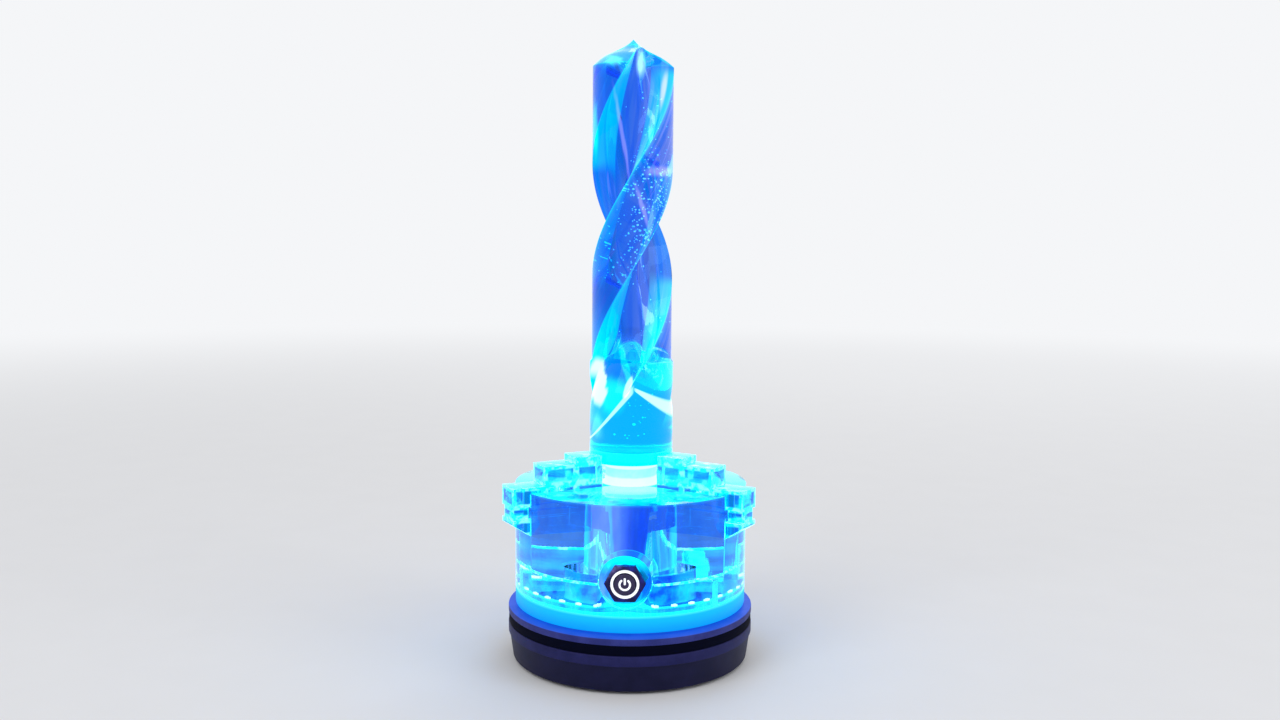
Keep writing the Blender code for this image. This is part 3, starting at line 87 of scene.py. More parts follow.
CAST_RESIN_IOR = 1.56
NO_STRETCH = (1.0, 1.0, 1.0)
Colour = tuple[float, float, float]
Pair = tuple[float, float]
Point = tuple[float, float, float]

logging.basicConfig(level=logging.INFO, format="%(message)s")
LOG = logging.getLogger("lamp")


def srgb(red: float, green: float, blue: float) -> Colour:
    """Turn display values from 0 to 255 into the linear colour that a shader takes.

    Args:
        red: Red, 0 to 255.
        green: Green, 0 to 255.
        blue: Blue, 0 to 255.

    Returns:
        The linear colour.
    """
    shares = np.array((red, green, blue)) / 255
    linear = np.where(shares <= 0.04045, shares / 12.92, ((shares + 0.055) / 1.055) ** 2.4)
    return tuple(float(value) for value in linear)


# Shader expressions


class Channel:
    """A number that varies over a surface: a shader socket that Python's operators work on."""

    def __init__(self, recipe: "Recipe", socket: Any) -> None:
        """Wrap a socket of the recipe's node tree."""
        self.recipe = recipe
        self.socket = socket

    def _with(self, operation: str, *values: Any) -> "Channel":
        """Return the Math node of this operation on the given values."""
        return self.recipe.number(operation, *values)

    def __add__(self, other: Any) -> "Channel":
        """Add."""
        return self._with("ADD", self, other)

    def __radd__(self, other: Any) -> "Channel":
        """Add to a number."""
        return self._with("ADD", other, self)

    def __sub__(self, other: Any) -> "Channel":
        """Subtract."""
        return self._with("SUBTRACT", self, other)

    def __rsub__(self, other: Any) -> "Channel":
        """Subtract from a number."""
        return self._with("SUBTRACT", other, self)

    def __mul__(self, other: Any) -> Any:
        """Multiply, or scale a colour."""
        return other * self if isinstance(other, Paint) else self._with("MULTIPLY", self, other)

    def __rmul__(self, other: Any) -> "Channel":
        """Multiply a number."""
        return self._with("MULTIPLY", other, self)

    def __truediv__(self, other: Any) -> "Channel":
        """Divide."""
        return self._with("DIVIDE", self, other)

    def __rtruediv__(self, other: Any) -> "Channel":
        """Divide a number."""
        return self._with("DIVIDE", other, self)

    def __pow__(self, other: Any) -> "Channel":
        """Raise to a power."""
        return self._with("POWER", self, other)

    def __rpow__(self, other: Any) -> "Channel":
        """Raise a number to this power."""
        return self._with("POWER", other, self)

    def __neg__(self) -> "Channel":
        """Change the sign."""
        return self._with("MULTIPLY", self, -1.0)

    def root(self) -> "Channel":
        """Square root."""
        return self._with("SQRT", self)

    def size(self) -> "Channel":
        """Absolute value."""
        return self._with("ABSOLUTE", self)

    def sine(self) -> "Channel":
        """Sine of radians."""
        return self._with("SINE", self)

    def bell(self, centre: float, width: float) -> "Channel":
        """Return 1 at the centre, falling off as a bell curve of this width on either side."""
        return self._with("EXPONENT", -(((self - centre) / width) ** 2.0))

    def step(self, start: float, end: float) -> "Channel":
        """Return a smooth step from 0 at start to 1 at end."""
        node = self.recipe.node("ShaderNodeMapRange", {"interpolation_type": "SMOOTHSTEP"},
                                {"Value": self, "From Min": start, "From Max": end})
        return Channel(self.recipe, node.outputs["Result"])


class Paint:
    """A colour or vector that varies over a surface, with sums and scaling as operators."""

    def __init__(self, recipe: "Recipe", socket: Any) -> None:
        """Wrap a colour or vector socket."""
        self.recipe = recipe
        self.socket = socket

    def __add__(self, other: Any) -> "Paint":
        """Add another colour."""
        node = self.recipe.node("ShaderNodeVectorMath", {"operation": "ADD"}, {0: self, 1: other})
        return Paint(self.recipe, node.outputs["Vector"])

    def __radd__(self, other: Any) -> "Paint":
        """Add to a plain colour."""
        return self + other

    def __mul__(self, factor: Any) -> "Paint":
        """Scale by a number or a channel."""
        node = self.recipe.node("ShaderNodeVectorMath", {"operation": "SCALE"}, {0: self, 3: factor})
        return Paint(self.recipe, node.outputs["Vector"])

    def __rmul__(self, factor: Any) -> "Paint":
        """Scale by a factor that is written first."""
        return self * factor


class Recipe:
    """The node tree of a material or the world, with the calls that put nodes into it."""

    def __init__(self, holder: Any, output: str = "ShaderNodeOutputMaterial") -> None:
        """Start the holder's tree afresh, with only its output node."""
        self.holder = holder
        holder.use_nodes = True
        self.tree = holder.node_tree
        self.tree.nodes.clear()
        self.output = self.node(output)

    def node(self, kind: str, settings: dict[str, Any] | None = None,
             inputs: dict[Any, Any] | None = None) -> Any:
        """Add a node.

        Args:
            kind: The node's type.
            settings: Its settings, which are set first.
            inputs: Values or links of its sockets, by name or number.

        Returns:
            The node.
        """
        node = self.tree.nodes.new(kind)
        for key, value in (settings or {}).items():
            setattr(node, key, value)
        for key, value in (inputs or {}).items():
            self.feed(node.inputs[key], value)
        return node

    def feed(self, socket: Any, value: Any) -> None:
        """Link a channel or colour to a socket, or set a plain value on it.

        Args:
            socket: The input that is fed.
            value: A channel, a colour, an output or a plain value.
        """
        if isinstance(value, (Channel, Paint)):
            self.tree.links.new(value.socket, socket)
        elif isinstance(value, bpy.types.NodeSocket):
            self.tree.links.new(value, socket)
        elif socket.type == "RGBA":
            socket.default_value = (*value[:3], 1.0)
        else:
            socket.default_value = value

    def number(self, operation: str, *values: Any) -> Channel:
        """Return a Math node's result."""
        node = self.node("ShaderNodeMath", {"operation": operation}, dict(enumerate(values)))
        return Channel(self, node.outputs["Value"])

    def place(self) -> tuple[Channel, Channel, Channel]:
        """Return the object coordinates x, y and z in metres."""
        coordinates = self.node("ShaderNodeTexCoord")
        split = self.node("ShaderNodeSeparateXYZ", {}, {0: coordinates.outputs["Object"]})
        return tuple(Channel(self, split.outputs[axis]) for axis in "XYZ")

    def attribute(self, name: str) -> Channel:
        """Return a number that the mesh carries on its points."""
        node = self.node("ShaderNodeAttribute", {"attribute_name": name})
        return Channel(self, node.outputs["Fac"])

    def noise(self, cell: float, detail: float, stretch: Sequence[float] = NO_STRETCH,
              carried: str = "") -> Channel:
        """Return noise from 0 to 1.

        Args:
            cell: The size of one cell in metres.
            detail: Octaves of finer noise.
            stretch: How many times longer the cells are along each axis.
            carried: A vector that the mesh carries on its points, instead of the object coordinates.

        Returns:
            The noise.
        """
        if carried:
            place = self.node("ShaderNodeAttribute", {"attribute_name": carried}).outputs["Vector"]
        else:
            place = self.node("ShaderNodeTexCoord").outputs["Object"]
        scale = tuple(1.0 / (cell * factor) for factor in stretch)
        mapping = self.node("ShaderNodeMapping", {}, {"Vector": place, "Scale": scale})
        node = self.node("ShaderNodeTexNoise", {},
                         {"Vector": mapping.outputs["Vector"], "Scale": 1.0, "Detail": detail})
        return Channel(self, node.outputs["Fac"])

    def colour(self, value: Colour) -> Paint:
        """Return a plain colour to start an expression from."""
        node = self.node("ShaderNodeRGB")
        node.outputs[0].default_value = (*value, 1.0)
        return Paint(self, node.outputs[0])

    def mix(self, share: Channel, first: Any, second: Any) -> Paint:
        """Mix two colours: the first where the share is 0, the second where it is 1."""
        node = self.node("ShaderNodeMix", {"data_type": "RGBA"}, {0: share, 6: first, 7: second})
        return Paint(self, node.outputs[2])

    def bump(self, height: Channel, depth: float) -> Any:
        """Return the normal of a relief of this depth in metres."""
        node = self.node("ShaderNodeBump", {}, {"Height": height, "Distance": depth, "Strength": 1.0})
        return node.outputs["Normal"]

    def finish(self, kind: str, inputs: dict[str, Any]) -> None:
        """End the tree with a shader of this kind."""
        shader = self.node(kind, {}, inputs)
        self.tree.links.new(shader.outputs[0], self.output.inputs["Surface"])

    def principled(self, inputs: dict[str, Any]) -> None:
        """End the tree with a Principled shader."""
        self.finish("ShaderNodeBsdfPrincipled", inputs)


# Finishes


@dataclass(frozen=True)
class Finish:
    """A finish of one of the record's material slots, with a look's name if it isn't the slot's own."""

    slot: str
    look: str = ""

    def material(self) -> bpy.types.Material:
        """Return the finish's material, made on first use."""
        name = self.look or f"{self.slot}_look"
        if name not in bpy.data.materials:
            self.paint(Recipe(bpy.data.materials.new(name)))
        return bpy.data.materials[name]

    def paint(self, recipe: Recipe) -> None:
        """Put the finish's nodes into the recipe."""
        raise NotImplementedError


@dataclass(frozen=True)
class Satin(Finish):
    """Dark moulded shell with turned lines and pores, lighter above the collar as painted shade darkens the
    body below it, and lit on top by painted light from the disc.
    """

    body: Colour = srgb(10, 12, 48)
    light: Colour = srgb(22, 22, 62)
    line_pitch: float = 0.42 * MM
    roughness: float = 0.46
    collar: float = 15.3 * MM
    lighter: float = 2.3
    halo: Colour = srgb(16, 104, 255)
    halo_foot: float = 29.1 * MM
    halo_share: float = 0.5

    def paint(self, recipe: Recipe) -> None:
        """Vary the navy with two sizes of mottling, raise turned lines along Z, paint shade on the body below
        the collar and paint the disc's light on the top face.
        """
        z = recipe.place()[2]
        wander = recipe.noise(9 * MM, 3.0)
        pores = recipe.noise(0.35 * MM, 2.0)
        lines = ((z + wander * (0.3 * MM)) * (2 * math.pi / self.line_pitch)).sine() * 0.5 + 0.5
        mottle = (wander * 0.6 + pores * 0.4).step(0.3, 0.75)
        # painted shade: the body below the collar stays darker than the collar and the parts above it
        collar = z.step(self.collar - 0.2 * MM, self.collar) * (self.lighter - 1.0) + 1.0
        colour = recipe.mix(mottle, self.body, self.light) * collar
        relief = lines * 0.4 + pores * 0.6
        # painted light: the disc's azure glow on the top face of the plate
        lit = z.step(self.halo_foot, self.halo_foot + 0.4 * MM) * self.halo_share
        recipe.principled({
            "Base Color": colour,
            "Roughness": self.roughness + pores * 0.12 - lines * 0.05,
            "Specular IOR Level": 0.16,
            "Emission Color": recipe.colour(self.halo) * lit,
            "Emission Strength": 1.0,
            "Normal": recipe.bump(relief, 0.03 * MM),
        })


@dataclass(frozen=True)
class Rubber(Finish):
    """Matte black rubber with a fine grain and dust."""

    body: Colour = srgb(2, 4, 24)
    dust: Colour = srgb(8, 12, 40)

    def paint(self, recipe: Recipe) -> None:
        """Grain with dust in the hollows."""
        grain = recipe.noise(0.5 * MM, 4.0)
        recipe.principled({
            "Base Color": recipe.mix(grain.step(0.5, 0.85), self.body, self.dust),
            "Roughness": 0.62 + grain * 0.2,
            "Specular IOR Level": 0.04,
            "Normal": recipe.bump(grain, 0.04 * MM),
        })


@dataclass(frozen=True)
class Metal(Finish):
    """Plated metal with turning marks, smudges and small stains."""

    body: Colour = srgb(200, 198, 192)
    stain: Colour = srgb(150, 148, 146)
    roughness: float = 0.24

    def paint(self, recipe: Recipe) -> None:
        """Fine scratches across, and broad smudges that dull the gloss."""
        marks = recipe.noise(0.3 * MM, 3.0, (8.0, 8.0, 0.5))
        smudge = recipe.noise(4 * MM, 3.0)
        recipe.principled({
            "Base Color": recipe.mix(smudge.step(0.45, 0.8), self.body, self.stain),
            "Metallic": 1.0,
            "Roughness": self.roughness + smudge * 0.18 + marks * 0.06,
            "Normal": recipe.bump(marks, 0.01 * MM),
        })


@dataclass(frozen=True)
class Anodised(Finish):
    """Dark anodised metal of the hexagon, rubbed lighter in patches, with a painted warm highlight at its
    upper left.
    """

    body: Colour = srgb(12, 12, 76)
    rubbed: Colour = srgb(28, 36, 140)
    warm_highlight: Colour = srgb(104, 92, 150)

    def paint(self, recipe: Recipe) -> None:
        """Satin navy with a fine blasted grain and lighter patches, and a painted highlight of warm light at
        its upper left.
        """
        x, _, z = recipe.place()
        grain = recipe.noise(0.18 * MM, 2.0)
        patch = recipe.noise(5 * MM, 2.0)
        # painted highlight: the upper left, where the warm light falls, turns lighter in patches
        corner = (z - BUTTON_HEIGHT - x).step(9 * MM, 13 * MM) * patch.step(0.35, 0.6)
        body = recipe.mix(patch.step(0.45, 0.7), self.body, self.rubbed)
        recipe.principled({
            "Base Color": recipe.mix(corner, body, self.warm_highlight),
            "Metallic": 0.3,
            "Specular IOR Level": 0.3,
            "Roughness": 0.4 + grain * 0.15,
            "Normal": recipe.bump(grain, 0.012 * MM),
        })


@dataclass(frozen=True)
class Moulded(Finish):
    """Moulded plastic with an eroded grain."""

    body: Colour = srgb(14, 14, 16)
    flow: Colour = srgb(30, 30, 34)
    roughness: float = 0.4

    def paint(self, recipe: Recipe) -> None:
        """Faint flow marks under the grain."""
        flow = recipe.noise(3 * MM, 3.0, (1.0, 1.0, 3.0))
        grain = recipe.noise(0.25 * MM, 2.0)
        recipe.principled({
            "Base Color": recipe.mix(flow.step(0.4, 0.8), self.body, self.flow),
            "Roughness": self.roughness + grain * 0.15,
            "Normal": recipe.bump(grain, 0.02 * MM),
        })


@dataclass(frozen=True)
class Board(Finish):
    """Circuit board with copper tracks under its mask."""

    mask: Colour = srgb(14, 92, 52)
    track: Colour = srgb(40, 128, 78)
    pitch: float = 2.2 * MM

    def paint(self, recipe: Recipe) -> None:
        """Tracks in two directions that wander with broad noise."""
        x, y, _ = recipe.place()
        wander = recipe.noise(7 * MM, 1.0) * (3 * MM)
        waves = 2 * math.pi / self.pitch
        along = ((x + wander) * waves).sine().step(0.55, 0.7)
        across = ((y - wander) * waves).sine().step(0.8, 0.9)
        tracks = recipe.number("MAXIMUM", along, across)
        recipe.principled({
            "Base Color": recipe.mix(tracks, self.mask, self.track),
            "Roughness": 0.42 - tracks * 0.08,
            "Normal": recipe.bump(tracks, 0.03 * MM),
        })


@dataclass(frozen=True)
class Insulation(Finish):
    """Soft insulation of a lead, slightly uneven."""

    body: Colour = srgb(170, 22, 22)
    dark: Colour = srgb(120, 12, 14)

    def paint(self, recipe: Recipe) -> None:
        """Long soft streaks and a waxy gloss."""
        streak = recipe.noise(1.5 * MM, 2.0)
        recipe.principled({
            "Base Color": recipe.mix(streak.step(0.35, 0.75), self.body, self.dark),
            "Roughness": 0.38 + streak * 0.15,
            "Normal": recipe.bump(streak, 0.02 * MM),
        })


@dataclass(frozen=True)
class Lit(Finish):
    """A surface that glows, a little uneven: a lamp's own light, or painted light on a part that a lamp
    lights.
    """

    core: Colour = srgb(250, 252, 255)
    rim: Colour = srgb(190, 236, 255)
    cell: float = 1.2 * MM
    strength: float = 1.0
    base: Colour = srgb(120, 140, 150)

    def paint(self, recipe: Recipe) -> None:
        """Glow from core to rim colour with soft noise."""
        cloud = recipe.noise(self.cell, 2.0)
        glow = recipe.mix(cloud.step(0.35, 0.8), self.core, self.rim)
        recipe.principled({
            "Base Color": recipe.mix(cloud, self.base, self.rim),
            "Roughness": 0.35 + cloud * 0.2,
            "Emission Color": glow,
            "Emission Strength": self.strength,
            "Normal": recipe.bump(cloud, 0.02 * MM),
        })


@dataclass(frozen=True)
class Opal(Finish):
    """Opal disc lit from inside: azure, paler along its upper edge, and darker inside the ring of lights."""

    low: Colour = srgb(0, 164, 255)
    high: Colour = srgb(0, 202, 255)
    edge: Colour = srgb(60, 250, 255)
    inside: Colour = srgb(16, 70, 200)
    body: Colour = srgb(0, 30, 90)
    cloudy: Colour = srgb(0, 44, 110)
    strength: float = 0.92
    bottom: float = 31.1 * MM
    top: float = 39.5 * MM
    ring: float = 31.4 * MM

    def paint(self, recipe: Recipe) -> None:
        """Grade the glow with height, broken by faint clouds, and on the top face with the radius."""
        x, y, z = recipe.place()
        cloud = recipe.noise(6 * MM, 3.0, (1.0, 1.0, 0.5))
        rise = (z + (cloud - 0.5) * (1.2 * MM)).step(self.bottom, self.top)
        glow = recipe.mix(rise, self.low, self.high)
        glow = recipe.mix(z.step(self.top - 1.3 * MM, self.top), glow, self.edge)
        out = (x * x + y * y).root() + (cloud - 0.5) * (1.5 * MM)
        glow = recipe.mix(out.step(self.ring - 0.6 * MM, self.ring), self.inside, glow)
        recipe.principled({
            "Base Color": recipe.mix(cloud, self.body, self.cloudy),
            "Roughness": 0.45 + cloud * 0.15,
            "Specular IOR Level": 0.15,
            "Emission Color": glow,
            "Emission Strength": self.strength,
            "Normal": recipe.bump(recipe.noise(0.8 * MM, 2.0), 0.01 * MM),
        })


@dataclass(frozen=True)
class Resin(Finish):
    """Clear cast resin that carries blue light, with faint flow streaks in its surface."""

    # painted light: the clear resin is tinted blue, deeper in flow streaks, to stand in for the blue light
    # that shows through it
    tint: Colour = srgb(62, 132, 250)
    deep: Colour = srgb(30, 88, 240)
    glow: Colour = srgb(0, 205, 255)
    level: float = 0.05
    roughness: float = 0.02
    ripple: float = 0.08 * MM
    ior: float = CAST_RESIN_IOR
    gloss: Colour = (0.12, 0.4, 1.0)

    def paint(self, recipe: Recipe) -> None:
        """See-through body plus the light of this surface."""
        flow = self.flow(recipe)
        fine = recipe.noise(1.1 * MM, 2.0)
        recipe.principled({
            "Base Color": self.tone(recipe, flow),
            "Roughness": self.roughness + fine * 0.03,
            "IOR": self.ior,
            "Specular Tint": self.gloss,
            "Transmission Weight": 1.0,
            "Emission Color": self.light(recipe, flow),
            "Emission Strength": 1.0,
            "Normal": recipe.bump(flow * 0.8 + fine * 0.05, self.ripple),
        })

    def flow(self, recipe: Recipe) -> Channel:
        """Return the noise of the resin's flow."""
        return recipe.noise(7 * MM, 2.0, (1.0, 1.0, 2.5))

    def tone(self, recipe: Recipe, flow: Channel) -> Paint:
        """Return the colour that light takes on in the resin: a painted blue tint, deeper in the flow
        streaks, that stands in for the blue light seen through it.
        """
        return recipe.mix(flow.step(0.3, 0.7), self.tint, self.deep)

    def light(self, recipe: Recipe, flow: Channel) -> Paint:
        """Return the light that the surface gives off."""
        return recipe.colour(self.glow) * (self.level * (0.6 + flow * 0.8))


@dataclass(frozen=True)
class PatchyResin(Resin):
    """Resin face where light comes out in patches, with clearer windows between them."""

    core: Colour = srgb(120, 255, 255)
    cell: float = 6 * MM
    window_share: float = 0.2
    core_share: float = 0.3

    def light(self, recipe: Recipe, flow: Channel) -> Paint:
        """Grade from windows to glow, and on to whiter cores."""
        patch = recipe.noise(self.cell, 3.0)
        spread = self.window_share + (1 - self.window_share) * patch.step(0.36, 0.58)
        body = recipe.colour(self.glow) * (spread * self.level)
        return body + recipe.colour(self.core) * (patch.step(0.56, 0.72) * self.core_share)


@dataclass(frozen=True)
class BoreResin(Resin):
    """Bore wall: pale sheen on the left, deep azure on the right, a bright streak at each side."""

    sheen: Colour = srgb(232, 214, 250)
    streak: float = 1.9 * MM

    def light(self, recipe: Recipe, flow: Channel) -> Paint:
        """Put the streaks where the wall turns away, and the sheen left of the middle."""
        x = recipe.place()[0]
        side = x.size().step(BORE_RADIUS - self.streak, BORE_RADIUS - self.streak * 0.3)
        left = x.bell(-0.62 * BORE_RADIUS, 0.42 * BORE_RADIUS) * (1.0 - side)
        total = recipe.colour(self.glow) * (side * (1.3 + flow) + self.level)
        return total + recipe.colour(self.sheen) * (left * (flow * 0.4 + 0.35))


@dataclass(frozen=True)
class WallResin(Resin):
    """Outer wall of the drum, brighter along its foot and under its upper rim."""

    def light(self, recipe: Recipe, flow: Channel) -> Paint:
        """Let light out at the foot, under the rim, where the wall turns away and in a few scratches."""
        x, _, z = recipe.place()
        foot = 1.0 - z.step(DRUM_FOOT + 0.2 * MM, DRUM_FOOT + 2.6 * MM)
        rim = z.step(DRUM_TOP - 1.5 * MM, DRUM_TOP)
        turn = x.size().step(DRUM_RADIUS - 2.6 * MM, DRUM_RADIUS - 0.6 * MM)
        scratch = recipe.noise(3.4 * MM, 2.0, (1.0, 1.0, 0.12)).step(0.72, 0.78)
        glow = foot * 0.55 + rim * 0.2 + turn * (flow * 0.6 + 0.35) + scratch * 0.5
        return recipe.colour(self.glow) * (glow + self.level)


@dataclass(frozen=True)
class Patch:
    """A soft patch of light on the drill: its place and half sizes in millimetres, lean, colour and strength.

    It is at its brightest where the product of its two bells is above full.
    """

    x: float
    z: float
    wide: float
    high: float
    lean: float
    colour: Colour
    strength: float
    full: float = 0.9


@dataclass(frozen=True)
class DrillResin(Resin):
    """Resin of the drill: bright shank and point, lit margins, streaks that follow the flutes."""

    # painted light: the drill's tint is azure on its left and lilac blue on its right, by how the light falls
    # across it, and azure at the shank
    left: Colour = srgb(0, 98, 240)
    right: Colour = srgb(92, 116, 234)
    foot: Colour = srgb(0, 118, 246)
    lilac: Colour = srgb(176, 160, 240)
    cyan: Colour = srgb(0, 236, 255)
    white: Colour = srgb(215, 255, 255)
    shank_top: float = 161.8 * MM
    apex: float = 148.0 * MM
    ring: float = 114.7 * MM
    reach: float = 20.0 * MM
    leg_start: float = 2.2 * MM
    right_leg: tuple[float, float, float] = (12.5 * MM, 0.9 * MM, 5.2 * MM)
    left_leg: tuple[float, float, float] = (24.0 * MM, 2.6 * MM, 1.0 * MM)
    patches: tuple[Patch, ...] = (
        Patch(-17.5, 151.0, 4.0, 10.0, 0.0, srgb(240, 255, 252), 0.95, 0.4),
        Patch(-18.0, 128.0, 3.6, 7.0, 0.0, srgb(130, 255, 240), 0.4),
        Patch(4.2, 318.5, 2.3, 7.0, 0.0, srgb(200, 255, 250), 0.75),
        Patch(-10.0, 318.0, 5.0, 3.0, -0.3, srgb(120, 255, 250), 0.6),
        Patch(-19.6, 284.0, 1.7, 14.0, 0.0, srgb(0, 240, 255), 0.6),
        Patch(-1.0, 149.5, 1.7, 4.5, 0.3, srgb(220, 255, 248), 0.9, 0.4),
        Patch(16.2, 305.0, 1.7, 10.0, 0.13, srgb(222, 150, 230), 0.75),
        Patch(14.0, 262.0, 6.0, 2.8, 0.6, srgb(196, 172, 240), 0.45),
        Patch(6.0, 243.0, 1.3, 12.0, -0.31, srgb(176, 164, 244), 0.5),
        Patch(17.5, 224.0, 1.6, 14.0, 0.0, srgb(196, 178, 244), 0.45),
        Patch(-5.2, 280.0, 1.1, 23.0, -0.167, srgb(164, 146, 230), 0.5),
        Patch(-2.9, 160.5, 1.8, 11.0, -0.27, srgb(0, 240, 255), 0.5, 0.6),
        Patch(-9.5, 145.0, 6.5, 9.0, 0.0, srgb(0, 240, 250), 0.4, 0.6),
    )

    def flow(self, recipe: Recipe) -> Channel:
        """Return noise that runs along the flutes, on the drill's untwisted coordinates."""
        return recipe.noise(5.0 * MM, 2.0, (1.0, 1.0, 12.0), "untwisted")

    def tone(self, recipe: Recipe, flow: Channel) -> Paint:
        """Grade the painted tint from azure on the left to lilac blue on the right, with deep streaks and an
        azure shank.
        """
        x, _, z = recipe.place()
        side = recipe.mix(x.step(-0.5 * self.reach, 0.7 * self.reach), self.left, self.right)
        body = recipe.mix(flow.step(0.5, 0.62), side, self.deep)
        return recipe.mix(z.step(self.apex, self.shank_top + 8 * MM), self.foot, body)

    def light(self, recipe: Recipe, flow: Channel) -> Paint:
        """Add up shank, point, banks, margins and streaks, and on the front also the patches and legs."""
        x, y, z = recipe.place()
        front = 1.0 - y.step(-2 * MM, 2 * MM)
        across = x * (front * 2.0 - 1.0)
        margin, bank = recipe.attribute("margin"), recipe.attribute("bank")
        flute, point = recipe.attribute("flute"), recipe.attribute("point")
        ribbons = recipe.noise(2.2 * MM, 2.0, (1.0, 1.0, 16.0), "untwisted").step(0.57, 0.66)
        left = 1.0 - across.step(-self.reach, -0.25 * self.reach)
        right = across.step(0.1 * self.reach, 0.75 * self.reach)
        above = z.step(self.shank_top - MM, self.shank_top + 2 * MM)
        low = 1.0 - z.step(self.shank_top, self.shank_top + 40 * MM)
        shoulder = z.step(self.apex - 5 * MM, self.apex + MM)
        edges = (margin * (low * 0.3 + 0.45) + bank * (low * 0.2 + 0.22)) * (front * 0.88 + 0.12)
        upper = above * (left * (ribbons * 0.04 + low * 0.26) + edges)
        in_flute = flute * (1.0 - z.step(self.apex, self.apex + 8 * MM)) * 0.45
        on_land = (1.0 - flute) * (shoulder * 0.1 + 0.26)
        base = 1.0 - z.step(self.ring - 2 * MM, self.ring + 1.5 * MM)
        glow = upper + (1.0 - above) * (in_flute + on_land) + base * 0.5 + point * 0.42 + self.level
        total = recipe.colour(self.cyan) * glow
        total = total + recipe.colour(self.lilac) * (above * right * ribbons * (0.14 - low * 0.08))
        legs = self.leg(x, z, 1.0) + self.leg(x, z, -1.0)
        total = total + recipe.colour(self.white) * (front * legs)
        for patch in self.patches:
            wide, height = patch.wide * MM, patch.z * MM
            off = x - patch.x * MM - (z - height) * patch.lean + (flow - 0.5) * (wide * 1.6)
            share = (off.bell(0.0, wide) * z.bell(height, patch.high * MM)).step(0.12, patch.full)
            total = total + recipe.colour(patch.colour) * (share * front * patch.strength)
        return total

    def leg(self, x: Channel, z: Channel, side: float) -> Channel:
        """Return one bright leg of the roof-shaped painted light in the shank.

        It fades with the distance from a line that falls away from the apex.

        Args:
            x: The object's x.
            z: The object's z.
            side: 1 for the right leg and -1 for the left one.

        Returns:
            The leg's light.
        """
        share = (x - self.leg_start) * side / self.reach
        fall, thin, thick = self.right_leg if side > 0 else self.left_leg
        centre = self.apex + MM - share * fall
        half = share * (thick - thin) + thin
        inside = 1.0 - (z - centre).size() / half
        return inside.step(0.0, 0.5) * share.step(-0.02, 0.08) * (1.0 if side > 0 else 0.8)


@dataclass(frozen=True)
class InsertResin(Resin):
    """Clear insert round the button, in painted light: cyan above and below, lilac on the left, azure on the
    right.
    """

    cyan: Colour = srgb(0, 240, 255)
    lilac: Colour = srgb(150, 190, 255)

    def light(self, recipe: Recipe, flow: Channel) -> Paint:
        """Grade the painted light round the button."""
        x, _, z = recipe.place()
        rise = (z - BUTTON_HEIGHT) / INSERT_RADIUS
        above = rise.step(0.25, 0.75)
        below = 1.0 - rise.step(-0.9, -0.5)
        left = 1.0 - (x / INSERT_RADIUS).step(-0.85, -0.35)
        cyan = above * (0.45 + flow * 0.3) + below * 0.4 + self.level
        lilac = left * (1.0 - above) * (0.08 + flow.step(0.45, 0.7) * 0.35)
        return recipe.colour(self.cyan) * cyan + recipe.colour(self.lilac) * lilac


@dataclass(frozen=True)
class Matched(Resin):
    """Face where resin meets resin: nearly unseen, with its own glow in clouds."""

    ior: float = 1.002
    level: float = 0.03
    clear: float = 0.2
    tint: Colour = srgb(236, 244, 255)
    deep: Colour = srgb(250, 252, 255)

    def light(self, recipe: Recipe, flow: Channel) -> Paint:
        """Clouds of glow between clearer spots."""
        cloud = recipe.noise(8 * MM, 3.0).step(0.4, 0.6)
        return recipe.colour(self.glow) * ((cloud * (1.0 - self.clear) + self.clear) * self.level)


@dataclass(frozen=True)
class PocketResin(Matched):
    """The button's pocket, whose far rim catches the light as a ring."""

    radius: float = 13.6 * MM
    end: float = -34.1 * MM
    width: float = 2.4 * MM
    ring: float = 0.9
    level: float = 0.2

    def light(self, recipe: Recipe, flow: Channel) -> Paint:
        """Light the last stretch of the pocket's wall, in places, and the rest faintly."""
        x, y, z = recipe.place()
        rise = z - BUTTON_HEIGHT
        wall = (x * x + rise * rise).root().step(self.radius - 0.8 * MM, self.radius - 0.2 * MM)
        last = y.step(self.end - self.width, self.end - self.width * 0.6)
        ring = wall * last * rise.step(-8 * MM, 4 * MM) * (flow * 0.6 + 0.4)
        return recipe.colour(self.glow) * (ring * self.ring + self.level)


@dataclass(frozen=True)
class Unseen(Finish):
    """Face between drum and jaw inside the resin: only a few fine level scratches show, glowing with painted
    light.
    """

    mark: Colour = srgb(150, 235, 255)
    body: Colour = (0.8, 0.9, 1.0)

    def paint(self, recipe: Recipe) -> None:
        """Show the scratches with a painted cyan glow and leave the rest clear."""
        scratch = recipe.noise(2.6 * MM, 2.0, (1.0, 1.0, 0.1)).step(0.7, 0.76)
        recipe.principled({
            "Base Color": recipe.mix(scratch, self.body, self.mark),
            "Roughness": 0.1 + scratch * 0.2,
            "Alpha": scratch * 0.5,
            # painted light: the scratches glow cyan
            "Emission Color": recipe.colour(self.mark) * scratch,
            "Emission Strength": 1.0,
        })


